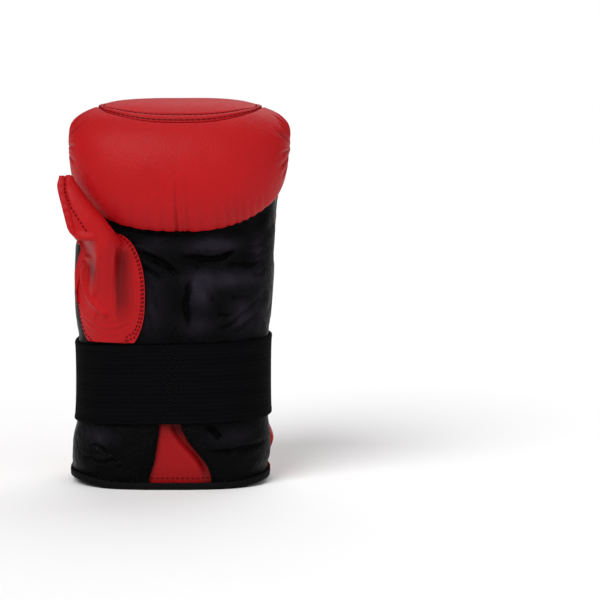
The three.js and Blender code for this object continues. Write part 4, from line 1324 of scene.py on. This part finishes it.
def palm_grid(rows, columns):
    """Up and across of the palm leather's points. Below the top of the slit the left half of the columns
    ends at the slit's left edge and the right half starts at its right edge."""
    up = spans((0.0, LIP_SHARE, rows - 8), (LIP_SHARE, 1.0, 9))
    height = np.clip(mix(EDGE_HEIGHT, palm_lip_height(0.0), up / LIP_SHARE), 0.0, 176.0)
    share = height / GLOVE_HEIGHT
    left_x = read(SLIT, "height", "left", share) * FIST_WIDTH
    right_x = read(SLIT, "height", "right", share) * FIST_WIDTH
    apex = 0.5 * (SLIT["left"][-1] + SLIT["right"][-1]) * FIST_WIDTH
    low = SLIT["height"][-1] * GLOVE_HEIGHT
    closing = np.clip((height - low) / (SLIT_TOP_HEIGHT - low), 0.0, 1.0)
    left = across_at(LEVEL, "z", height, mix(left_x, apex, closing))
    right = across_at(LEVEL, "z", height, mix(right_x, apex, closing))
    half = columns // 2
    angles = even_angles(401, 2.9, 62.0, 33.0)
    run = np.linspace(-1.0, 1.0, 401)
    share = np.linspace(0.0, 1.0, half)[None, :]
    left_run = np.interp(left, angles, run)[:, None]
    right_run = np.interp(right, angles, run)[:, None]
    across = np.concatenate([mix(-1.0, left_run, share), mix(right_run, 1.0, share)], axis=1)
    across = np.interp(across, run, angles)
    return np.broadcast_to(up[:, None], across.shape), across, height, closing


def palm_base(up, across):
    """The smooth palm leather, with both directions kept inside their range."""
    return palm_point(np.clip(up, 0.0, 1.0), np.clip(across, -90.0, 90.0), 0.0)


def palm_surface(up, across):
    """The palm leather with its creases and a soft unevenness, and its normals."""
    share = bpy.context.scene.glove_sizes.crease_share

    def out(base):
        x, y, z = base[..., 0], base[..., 1], base[..., 2]
        free = 1.0 - smooth(up, 0.84, 0.93)
        under_band = smooth(np.abs(z - ELASTIC_MIDDLE), 23.0, 28.0)
        hem = smooth(z, 4.0, 9.0)
        soft = 1.1 * waves(x, y, z, 44.0) + 0.55 * waves(z, x, y, 19.0) + 0.2 * waves(y, z, x, 8.0)
        away = 0.35 + 0.65 * smooth(np.hypot((x + 39.2) / 27.0, (z - 123.0) / 42.0), 0.8, 1.3)
        soft = np.minimum(soft, 0.3) * away
        return (soft - share * fold_depth(x, y, z, PALM_FOLDS)) * free * under_band * hem

    return relief(palm_base, up, across, 0.003, 0.8, out)


# How far the palm leather laps over the shell at the side seams, and how far it moves inward there
PALM_LAP = 1.3
PALM_LAP_INWARD = 0.1


class GLOVE_OT_palm(bpy.types.Operator):
    """Builds the black palm leather with its slit, its creases and the red gusset behind the slit"""

    bl_idname = "glove.palm"
    bl_label = "Palm and Gusset"

    def execute(self, context):
        up, across, height, closing = palm_grid(230, 180)
        points = palm_surface(up, across)[0]
        lap = smooth(np.abs(across), 84.0, 90.0) * (1.0 - smooth(up, 0.9, 0.97))
        points[..., 1] += PALM_LAP * lap
        points[..., 0] -= PALM_LAP_INWARD * lap * np.sign(across)
        rows, columns = up.shape
        half = columns // 2
        faces = grid_faces(rows, columns)
        column = faces[:, 0] % columns
        row = faces[:, 0] // columns
        in_slit = (column == half - 1) & (closing[np.minimum(row + 1, rows - 1)] < 1.0)
        centre = points.reshape(-1, 3)[faces].mean(axis=1)
        base = {name: THUMB[name][0] for name in THUMB}
        middle_x = 0.5 * (base["left"] + base["right"]) * FIST_WIDTH
        middle_z = 0.5 * (base["front_height"] + base["rear_height"]) * GLOVE_HEIGHT
        half_x = 0.5 * (base["right"] - base["left"]) * FIST_WIDTH * THUMB_HOLE_SHARE
        half_z = 0.5 * (base["rear_height"] - base["front_height"]) * GLOVE_HEIGHT * THUMB_HOLE_SHARE
        hole = ((centre[:, 0] - middle_x) / half_x) ** 2 + ((centre[:, 2] - middle_z) / half_z) ** 2
        in_hole = (hole < 1.0) & (centre[:, 1] < 0.0)
        x, y, z = points[..., 0], points[..., 1], points[..., 2]
        # Painted shade in the deepest folds
        hollow = 0.8 * (np.clip(fold_depth(x, y, z, PALM_FOLDS), 0.0, 3.4) / 3.4) ** 1.7
        # Painted light: broad painted sheens, less the painted shade of the folds and a painted shade on the
        # side where the palm turns away
        gleam = np.zeros(x.shape)
        for at_x, at_z, reach_x, reach_z, strength in zip(*(PALM_PAINTED_SHEENS[name] for name in PALM_PAINTED_SHEENS)):
            gleam += strength * np.exp(-(((x - at_x) / reach_x) ** 2) - (((z - at_z) / reach_z) ** 2))
        turn = smooth(across, 66.0, 80.0)
        gleam = 0.36 + 0.64 * np.clip(gleam, 0.0, 1.0) - hollow - 0.2 * turn
        piece = make_mesh("palm_leather", points, faces[~in_slit & ~in_hole], hollow=hollow, gleam=gleam)
        add_wall(piece, PALM_LEATHER)
        weld(piece)
        finish_piece(piece, material("black leather"), ["palm"])
        self.gusset()
        self.rows()
        return {"FINISHED"}

    def rows(self):
        """Two rows beside the left edge of the slit and one beside its right edge, a stitched peak above the
        band, and the hem's row.
        """
        pitch, width = sewing()
        rows = Rows()
        height = np.linspace(6.5, 46.0, 90)
        share = height / GLOVE_HEIGHT
        left = read(SLIT, "height", "left", share) * FIST_WIDTH
        right = read(SLIT, "height", "right", share) * FIST_WIDTH
        for x in (left - 2.0, left - 5.8, right + 2.2):
            line, normal = palm_line(x, height)
            rows.add(line, normal, 0.8 * pitch)
        for foot in (-4.6, 5.4):
            line, normal = palm_line(np.linspace(foot, 0.9, 30), np.linspace(88.0, 103.0, 30))
            rows.add(line, normal, 0.7 * pitch)
        for low, high in ((-58.0, left[0] - 0.8), (right[0] + 0.8, 52.0)):
            x = np.linspace(low, high, 80)
            line, normal = palm_line(x, np.full_like(x, BINDING_HEIGHT + 2.0))
            rows.add(line, normal, 0.9 * pitch)
        rows.make("palm_stitches", 0.62 * pitch, 0.8 * width, "black thread")

    def gusset(self):
        """The gusset: a sheet behind the slit that sinks in along one slanting fold, with painted shade."""
        height, over = grid_of(np.linspace(EDGE_HEIGHT, SLIT_TOP_HEIGHT, 130), np.linspace(0.0, 1.0, 70))
        share = np.clip(height / GLOVE_HEIGHT, SLIT["height"][0], SLIT["height"][-1])
        left = read(SLIT, "height", "left", share) * FIST_WIDTH - GUSSET_OVERLAP
        right = read(SLIT, "height", "right", share) * FIST_WIDTH + GUSSET_OVERLAP
        x = mix(left, right, over)
        across = across_at(LEVEL, "z", height, x)
        sink = smooth(height, 4.0, 16.0) * (1.0 - smooth(height, 38.0, 48.0))
        fold_x = mix(21.0, 0.5, smooth(height, 10.0, 41.0))
        fold = 2.6 * bell(x - fold_x, 3.4) - 0.9 * bell(x - fold_x + 7.0, 4.0)
        seat = PALM_LEATHER + LAYER_GAP
        points = body_point(height, 180.0 - across, -seat - 0.2 - sink * fold, SEAM_GAP)
        row = points[8] + np.array([0.0, -0.1, 0.0])
        facing = np.broadcast_to(np.array([0.0, -1.0, 0.0]), row.shape)
        stitched = Rows()
        pitch = 0.9 * sewing()[0]
        stitched.add(row, facing, pitch)
        stitched.make("gusset_stitches", 0.66 * pitch, 0.5, "black thread")
        # Painted shade: all over behind the slit, more under the band at the top, in the fold and along the
        # edges under the palm leather
        hollow = 0.4 + 0.35 * smooth(height, 28.0, 42.0) + 0.16 * np.clip(fold, 0.0, 2.6)
        hollow = hollow + 0.3 * np.exp(-np.minimum(x - left, right - x) / 2.2)
        piece = make_mesh("gusset_leather", points, grid_faces(*height.shape), hollow=hollow)
        add_wall(piece, GUSSET_LEATHER)
        apply_modifiers(piece)
        finish_piece(piece, material("red leather"), ["gusset"])


def palm_line(x, z):
    """Points on the palm leather at given places across and up, with their normals."""
    across = across_at(LEVEL, "z", z, x)
    up = LIP_SHARE * (z - EDGE_HEIGHT) / (palm_lip_height(across) - EDGE_HEIGHT)
    return palm_surface(up, across)


def palm_lip_height(across):
    """The height at which the palm leather reaches the lip."""
    return shell_point(1.0, across, 0.0)[..., 2]


def thumb_base(v, around):
    """The smooth thumb sleeve, with the first direction kept inside its range."""
    return thumb_point(np.clip(v, 0.0, 1.0), around, 0.0)


def thumb_painted_shade(base, v):
    """Painted shade on the thumb's leather: the dent and the valley beside the column."""
    x, y, z = base[..., 0], base[..., 1], base[..., 2]
    front = smooth(-(y + 24.0), 0.0, 4.0)
    dent = np.exp(-(((x + 50.0) / 2.6) ** 2) - (((z - 139.0) / 7.0) ** 2))
    valley = smooth(x, -36.4, -34.6) * (1.0 - smooth(x, -32.5, -20.5))
    valley = valley * smooth(z, 100.0, 122.0) * (1.0 - smooth(z, 144.0, 160.0))
    return front * np.clip(0.85 * dent + 0.74 * valley, 0.0, 1.0) * smooth(v, 0.05, 0.12)


def thumb_surface(v, around):
    """The thumb sleeve and its normals. Under the bend a lip of leather folds over; below it the sleeve is
    a column on a flat patch, with a dent inside a looping fold and rings of small folds at the bottom."""

    def out(base):
        x, y, z = base[..., 0], base[..., 1], base[..., 2]
        front = smooth(-(y + 22.0), 0.0, 4.0) * smooth(v, 0.03, 0.1)
        left_part = 1.0 - smooth(x, -49.5, -45.0)
        lip = 1.3 * bell(z - 160.8, 1.9) * left_part * smooth(-(y + 40.0), 0.0, 4.0)
        loop = 2.2 * near_path(x, z, THUMB_LOOP, 1.7)
        edge = 0.7 * near_path(x, z, THUMB_EDGE, 1.3)
        column = 1.0 * bell(x + 42.0, 4.0) * smooth(z, 98.0, 114.0) * (1.0 - smooth(z, 156.0, 166.0))
        bottom = bell(z - 104.5, 8.0) * (1.0 - smooth(np.abs(x + 42.0), 9.0, 17.0))
        rings = 0.24 * np.sin((z - 0.03 * (x + 40.0) ** 2) * 2.0 * np.pi / 4.6) * bottom
        tug = 0.5 * near_path(x, z, ((-46.0, 119.0), (-50.0, 108.0)), 1.4)
        tug = tug + 0.5 * near_path(x, z, ((-38.0, 116.0), (-33.0, 104.0)), 1.5)
        soft = 0.3 * waves(x, y, z, 27.0) * smooth(v, 0.08, 0.3)
        seam_x = np.interp(z, THUMB_SEAM[:, 1], THUMB_SEAM[:, 0])
        on_seam = smooth(z, 162.5, 165.0) * smooth(-(y + 30.0), 0.0, 4.0)
        seam = 0.7 * bell(x - seam_x, 0.8) * on_seam
        sunk = 0.6 * (1.0 - smooth(x - seam_x, -1.5, 0.3)) * on_seam
        return soft + front * (lip + loop + edge + column + rings + tug) - seam - sunk

    return relief(thumb_base, v, around, 0.004, 1.5, out)


class GLOVE_OT_thumb(bpy.types.Operator):
    """Builds the thumb sleeve, its raised seam and the stitching round its base"""

    bl_idname = "glove.thumb"
    bl_label = "Thumb Sleeve"

    def execute(self, context):
        v = spans((0.0, 0.5, 90), (0.5, 0.66, 60), (0.66, 1.0, 70))
        v, around = grid_of(v, np.linspace(0.0, 360.0, 221)[:-1])
        outer = thumb_surface(v, around)[0]
        tip = point(THUMB_TIP[0] * FIST_WIDTH, THUMB_TIP[1] * GLOVE_DEPTH, THUMB_TIP[2] * GLOVE_HEIGHT)
        inward = np.array([0.06, 0.16, 0.3, 0.5, 0.75])[:, None, None]
        ring = outer[-1][None]
        crown = np.sqrt(1.0 - (1.0 - inward) ** 2)
        cap = ring + (tip - ring) * np.concatenate([inward, inward, crown], axis=-1)
        grid = np.concatenate([outer, cap], axis=0)
        rows, columns = grid.shape[:2]
        points = np.concatenate([grid.reshape(-1, 3), tip[None]])
        faces = grid_faces(rows, columns, 0, wrap=True)
        last = (rows - 1) * columns + np.arange(columns)
        following = (rows - 1) * columns + (np.arange(columns) + 1) % columns
        closing = np.stack([last, following, np.full(columns, len(points) - 1)], axis=-1)
        mesh_faces = faces.tolist() + closing.tolist()
        # Painted shade in the dent and the valley, none on the tip's cap
        shade = np.concatenate([thumb_painted_shade(outer, v), np.zeros((len(cap), columns))]).ravel()
        piece = make_mesh("thumb_sleeve", points, mesh_faces, hollow=np.append(shade, 0.0))
        add_wall(piece, THUMB_EDGE_LEATHER)
        apply_modifiers(piece)
        finish_piece(piece, material("red leather"), ["thumb"])
        self.welt()
        self.rows()
        return {"FINISHED"}

    def welt(self):
        """The welt: a flat rounded fin carried along the outer side of the sleeve."""
        v = np.linspace(0.5, 1.0, 60)
        path = thumb_point(v, np.full_like(v, 270.0), 0.0)
        turns = np.linspace(0.0, 2.0 * np.pi, 17)[:-1]
        share = np.minimum(1.0, 0.3 + np.arange(60) * 0.06)[:, None]
        reach = WELT_WIDTH * share * (1.0 - 0.45 * smooth(v, 0.9, 1.0)[:, None])
        half = 0.5 * WELT_THICKNESS
        across = signed_power(np.cos(turns), 0.7)[None, :]
        thick = signed_power(np.sin(turns), 0.8)[None, :]
        x = path[:, 0:1] + 1.2 - 0.5 * (reach + 1.6) + 0.5 * (reach + 1.6) * across
        y = path[:, 1:2] - 0.8 + half * thick * (0.85 + 0.15 * np.sin(np.arange(60) * 0.9))[:, None]
        z = np.broadcast_to(path[:, 2:3] + 2.6 * smooth(v, 0.8, 1.0)[:, None], x.shape)
        ring = np.stack([x, y, z], axis=-1)
        faces = grid_faces(60, 16, 0, wrap=True).tolist()
        faces.append(list(range(16)))
        faces.append([59 * 16 + i for i in reversed(range(16))])
        piece = make_mesh("thumb_seam", ring, faces)
        recalculate(piece)
        finish_piece(piece, material("red leather"), ["thumb_welt"])

    def rows(self):
        """The topstitch round the sleeve's base: two rows on the right side and one on the left."""
        pitch, width = sewing()
        pitch = 0.76 * pitch
        rows = Rows()
        for inset, low, high in ((2.7, 14.0, 176.0), (5.6, 18.0, 170.0), (2.6, 250.0, 346.0)):
            around = np.linspace(low, high, 120)
            v_at = np.full_like(around, 0.05)
            rim = thumb_point(np.zeros_like(v_at), around, 0.0)
            for _ in range(4):
                gone = np.linalg.norm(thumb_point(v_at, around, 0.0) - rim, axis=-1)
                v_at = np.clip(v_at * inset / np.maximum(gone, 0.05), 0.004, 0.3)
            line, normal = thumb_surface(v_at, around)
            rows.add(line, normal, pitch)
        seam_z = np.linspace(164.0, 193.0, 60)
        seam_x = np.interp(seam_z, THUMB_SEAM[:, 1], THUMB_SEAM[:, 0])
        line, normal = thumb_front(seam_x, seam_z)
        rows.add(line + 0.15 * normal, normal, pitch)
        rows.make("thumb_stitches", 0.68 * pitch, 1.1 * width, "red thread")


def thumb_front(x, z):
    """Points on the front of the thumb sleeve nearest to given places across and up, found on a grid."""
    v, around = np.meshgrid(np.linspace(0.3, 1.0, 160), np.linspace(-90.0, 60.0, 160), indexing="ij")
    grid, normal = thumb_surface(v, around)
    flat = grid.reshape(-1, 3)
    near = np.hypot(flat[None, :, 0] - x[:, None], flat[None, :, 2] - z[:, None])
    pick = np.argmin(near, axis=1)
    return flat[pick], normal.reshape(-1, 3)[pick]


def recalculate(piece):
    """Turns every face of a closed piece outward."""
    work = bmesh.new()
    work.from_mesh(piece.data)
    bmesh.ops.recalc_face_normals(work, faces=work.faces)
    work.to_mesh(piece.data)
    work.free()


# Mean radii of the wrist and the hem, which turn angles into millimetres on the webbing's map
BAND_RADIUS = 62.0
BINDING_RADIUS = 56.0


class GLOVE_OT_wrist(bpy.types.Operator):
    """Builds the woven wrist band, the loop patch and the closing strap, with sunk lines along the sewn edges
    of the patch and the strap
    """

    bl_idname = "glove.wrist"
    bl_label = "Wrist Band and Strap"

    def execute(self, context):
        self.band()
        self.patch()
        self.strap()
        return {"FINISHED"}

    def band(self):
        """The band: its thickness swells at both edges and its edges wave slightly."""
        start = across_at(LEVEL, "z", ELASTIC_MIDDLE, ELASTIC_PINKY_END)
        finish = 360.0 + across_at(LEVEL, "z", ELASTIC_MIDDLE, ELASTIC_THUMB_END)
        share, around = grid_of(np.linspace(0.0, 1.0, 61), np.linspace(start, finish, 420))
        lean = ELASTIC_LEAN * np.sin(np.radians(around))
        wave = 0.18 * np.sin(np.radians(around) * 17.0) + 0.12 * np.sin(np.radians(around) * 41.0 + 1.0)
        height = ELASTIC_MIDDLE + lean + (share - 0.5) * (ELASTIC_HEIGHT + wave)
        edge = np.minimum(share, 1.0 - share) * ELASTIC_HEIGHT
        thick = ELASTIC_THICKNESS * (0.55 + 0.45 * smooth(edge, 0.0, 0.9)) + 0.18 * bell(edge - 1.5, 0.8)
        uv = np.stack([np.radians(around) * BAND_RADIUS, share * ELASTIC_HEIGHT], axis=-1) * MM
        walls = np.stack([body_point(height, around, SEAT_GAP + thick), body_point(height, around, SEAT_GAP)])
        piece = make_mesh("wrist_band", walls, slab_faces(*height.shape), np.stack([uv, uv]))
        recalculate(piece)
        finish_piece(piece, material("wrist webbing"), ["wrist_elastic"])

    def flat_piece(self, name, ends, heights, low, thickness, slope, finish, slot, nodes, lift):
        """A flat piece bent round the back of the wrist, with rounded edges and its own relief, which lift
        gives in millimetres for shares up and over."""
        up, over = grid_of(np.linspace(0.0, 1.0, 91), np.linspace(0.0, 1.0, 151))
        height = mix(heights[0], heights[1], up)
        around = mix(across_at(LEVEL, "z", height, ends[0]), across_at(LEVEL, "z", height, ends[1]), over)
        width = ends[1] - ends[0]
        tall = heights[1] - heights[0]
        edge = edge_distance(up, over, tall, width)
        thick = thickness * (0.6 + 0.4 * smooth(edge, 0.0, 0.8)) + lift(up, over, width, tall)
        outer = body_point(height, around, low + thick)
        inner = body_point(height, around, low)
        for grid in (outer, inner):
            grid[..., 2] += slope * grid[..., 0] * (2.0 * up - 1.0)
        uv = np.stack([over * width * MM, up * tall * MM], axis=-1)
        piece = make_mesh(name, np.stack([outer, inner]), slab_faces(*up.shape), np.stack([uv, uv]))
        recalculate(piece)
        return finish_piece(piece, material(finish), nodes)

    def patch(self):
        """The loop patch: flat, with a sewn edge."""

        def lift(up, over, width, tall):
            edge = edge_distance(up, over, tall, width)
            return -0.35 * bell(edge - 2.0, 0.6)

        self.flat_piece(
            "loop_piece", (PATCH_THUMB_END, PATCH_PINKY_END), (PATCH_LOW, PATCH_HIGH), SEAT_GAP,
            PATCH_THICKNESS, 0.0, "loop pile", "black_loop", ["loop_patch"], lift,
        )

    def strap(self):
        """The closing strap: a flat face inside a folded edge strip at its thumb end and low side."""

        def lift(up, over, width, tall):
            side = over * width
            low = up * tall
            strip = np.maximum(1.0 - smooth(side, 4.6, 5.2), 1.0 - smooth(low, 2.6, 3.2))
            edge = edge_distance(up, over, tall, width)
            sewn = -0.45 * bell(edge - 2.1, 0.6)
            return 0.8 * strip + sewn

        seat = SEAT_GAP + PATCH_THICKNESS + LAYER_GAP
        self.flat_piece(
            "closing_strap", (TAB_THUMB_END, TAB_PINKY_END), (TAB_LOW, TAB_HIGH), seat,
            TAB_THICKNESS, TAB_SLOPE, "strap face", "black_strap", ["strap_tab"], lift,
        )


class GLOVE_OT_hem(bpy.types.Operator):
    """Builds the binding round the open end and the row of stitches above it"""

    bl_idname = "glove.hem"
    bl_label = "Hem Binding"

    def execute(self, context):
        around = np.linspace(0.0, 360.0, 481)[:-1][:, None]
        outside = SEAT_GAP + BINDING_WALL
        corner = np.linspace(0.0, 1.0, 7)[:, None] * np.pi * 0.5
        profile = [[outside - 0.55 * (1 - np.sin(a)), 0.55 * (1 - np.cos(a))] for a in corner.ravel()]
        profile += [[outside + 0.12, 2.2], [outside, BINDING_HEIGHT - 0.35], [outside - 0.4, BINDING_HEIGHT]]
        profile += [[SEAT_GAP, BINDING_HEIGHT - 0.1], [SEAT_GAP, BINDING_FLOOR]]
        grip = -BINDING_GRIP - SEAT_GAP
        profile += [[grip, BINDING_FLOOR], [grip, BINDING_HEIGHT - 0.1], [grip - 0.6, BINDING_HEIGHT]]
        profile += [[-BINDING_GRIP - outside, BINDING_HEIGHT - 0.4], [-BINDING_GRIP - outside, 0.5]]
        profile += [[-BINDING_GRIP - outside + 0.5, 0.0]]
        profile = np.array(profile)
        out = profile[:, 0][None, :]
        high = profile[:, 1][None, :]
        ripple = 0.16 * np.sin(np.radians(around) * 71.0) + 0.1 * np.sin(np.radians(around) * 163.0)
        top = smooth(high, 1.5, 4.0)
        points = body_point(np.zeros_like(around + out), around, out + 0.4 * ripple * top * (out > 0))
        points[..., 2] += high + ripple * top
        steps = 0.6 * np.arange(1.0, 1.0 + high.size)[None, :]
        uv = np.stack(np.broadcast_arrays(np.radians(around) * BINDING_RADIUS, steps), axis=-1) * MM
        columns = profile.shape[0]
        rows = len(around)
        faces = grid_faces(rows, columns, 0, wrap=True)
        last = (rows - 1) * columns + np.arange(columns)
        following = (rows - 1) * columns + (np.arange(columns) + 1) % columns
        join = np.stack([last, following, (np.arange(columns) + 1) % columns, np.arange(columns)], axis=-1)
        piece = make_mesh("hem_tape", points, np.concatenate([faces, join]), uv)
        recalculate(piece)
        finish_piece(piece, material("edge tape"), ["hem_binding"])
        self.rows()
        return {"FINISHED"}

    def rows(self):
        """Stitches just above the binding, along the back."""
        pitch, width = sewing()
        rows = Rows()
        around = np.linspace(-88.0, 88.0, 200)
        line, normal = body_line(BINDING_HEIGHT + 2.0, around)
        rows.add(line, normal, 1.15 * pitch)
        rows.make("hem_stitches", 0.8 * pitch, width, "black thread")


def body_line(height, around):
    """A level line round the body with its normals."""
    line = body_point(np.full_like(around, height), around, 0.0)
    ahead = body_point(np.full_like(around, height), around + 0.5, 0.0)
    behind = body_point(np.full_like(around, height), around - 0.5, 0.0)
    above = body_point(np.full_like(around, height + 1.0), around, 0.0)
    normal = np.cross(ahead - behind, above - line)
    return line, -normal


# The room's light, and the lamps: name, place, width in degrees and power
ROOM_STRENGTH = 0.2
LAMPS = (
    ("key", (-0.5, -0.75, 0.95), 36.0, 2.2),
    ("fill", (0.8, -0.8, 0.55), 70.0, 0.7),
    ("rear", (0.25, 0.8, 0.95), 60.0, 1.2),
)

# Half the floor's width in metres and its two tones
FLOOR_HALF = 6.0
FLOOR_TONES = (0.93, 0.95)

# The camera: degrees above level, metres away, the point that it looks at, and its lens in millimetres
CAMERA_ELEVATION = 8.5
CAMERA_DISTANCE = 2.1
CAMERA_AIM = (0.0783, 0.0, 0.1145)
LENS = 200.0
SENSOR_WIDTH = 36.0


class GLOVE_OT_stage(bpy.types.Operator):
    """Makes the pale floor, the studio lights and the camera"""

    bl_idname = "glove.stage"
    bl_label = "Stage and Camera"

    def execute(self, context):
        self.floor()
        self.lights()
        self.camera()
        return {"FINISHED"}

    def floor(self):
        """A wide pale plane at the height of the hem."""
        mesh = bpy.data.meshes.new("floor")
        corners = [(x * FLOOR_HALF, y * FLOOR_HALF, 0.0) for x, y in ((-1, -1), (1, -1), (1, 1), (-1, 1))]
        mesh.from_pydata(corners, [], [(0, 1, 2, 3)])
        floor = bpy.data.objects.new("floor", mesh)
        bpy.context.scene.collection.objects.link(floor)
        made, tree, shader = new_material("pale floor")
        mottle = noise(tree, object_place(tree), Scale=6.0, Detail=3.0)
        pale = colour_mix(tree, mottle.outputs["Fac"], *((tone,) * 3 for tone in FLOOR_TONES))
        tree.links.new(pale, shader.inputs["Base Color"])
        shader.inputs["Roughness"].default_value = 0.9
        shader.inputs["Specular IOR Level"].default_value = 0.1
        floor.data.materials.append(made)

    def lights(self):
        """A pale room with three broad soft lamps: a key from the upper left, a fill from the right and one
        from behind."""
        world = bpy.data.worlds.new("studio")
        world.use_nodes = True
        background = world.node_tree.nodes["Background"]
        background.inputs["Color"].default_value = (1.0, 1.0, 1.0, 1.0)
        background.inputs["Strength"].default_value = ROOM_STRENGTH
        bpy.context.scene.world = world
        bpy.context.scene.view_settings.view_transform = "Standard"
        for name, place, angle, power in LAMPS:
            data = bpy.data.lights.new(name, "SUN")
            data.angle = np.radians(angle)
            data.energy = power
            lamp = bpy.data.objects.new(name, data)
            lamp.location = place
            lamp.rotation_mode = "QUATERNION"
            lamp.rotation_quaternion = (-Vector(place)).to_track_quat("-Z", "Y")
            bpy.context.scene.collection.objects.link(lamp)

    def camera(self):
        """A long lens in front of the palm and a little above it, with the glove at the left of the frame."""
        elevation = np.radians(CAMERA_ELEVATION)
        back = Vector((0.0, -np.cos(elevation), np.sin(elevation)))
        data = bpy.data.cameras.new("camera")
        data.lens = LENS
        data.sensor_width = SENSOR_WIDTH
        data.clip_start = 0.05
        data.clip_end = 40.0
        camera = bpy.data.objects.new("camera", data)
        camera.location = Vector(CAMERA_AIM) + back * CAMERA_DISTANCE
        camera.rotation_mode = "QUATERNION"
        camera.rotation_quaternion = (-back).to_track_quat("-Z", "Y")
        bpy.context.scene.collection.objects.link(camera)
        bpy.context.scene.camera = camera


class GLOVE_PT_panel(bpy.types.Panel):
    """Lists the steps that build the glove"""

    bl_label = "Bag Glove"
    bl_idname = "GLOVE_PT_panel"
    bl_space_type = "VIEW_3D"
    bl_region_type = "UI"
    bl_category = "Bag Glove"

    def draw(self, context):
        for step in STEPS:
            self.layout.operator(step.bl_idname)
        for name in GloveLooks.__annotations__:
            self.layout.prop(context.scene.glove_looks, name)
        for name in GloveSizes.__annotations__:
            self.layout.prop(context.scene.glove_sizes, name)


STEPS = (
    GLOVE_OT_shell,
    GLOVE_OT_panel,
    GLOVE_OT_palm,
    GLOVE_OT_thumb,
    GLOVE_OT_wrist,
    GLOVE_OT_hem,
    GLOVE_OT_stage,
)


def register():
    """Registers the settings, the steps and the sidebar panel."""
    for kind in (GloveLooks, GloveSizes, *STEPS, GLOVE_PT_panel):
        bpy.utils.register_class(kind)
    bpy.types.Scene.glove_looks = bpy.props.PointerProperty(type=GloveLooks)
    bpy.types.Scene.glove_sizes = bpy.props.PointerProperty(type=GloveSizes)


def unregister():
    """Takes the settings, the steps and the sidebar panel away again."""
    del bpy.types.Scene.glove_sizes
    del bpy.types.Scene.glove_looks
    for kind in (GLOVE_PT_panel, *reversed(STEPS), GloveSizes, GloveLooks):
        bpy.utils.unregister_class(kind)


def main():
    register()
    bpy.ops.glove.shell()
    bpy.ops.glove.panel()
    bpy.ops.glove.palm()
    bpy.ops.glove.thumb()
    bpy.ops.glove.wrist()
    bpy.ops.glove.hem()
    bpy.ops.glove.stage()


if __name__ == "__main__":
    main()
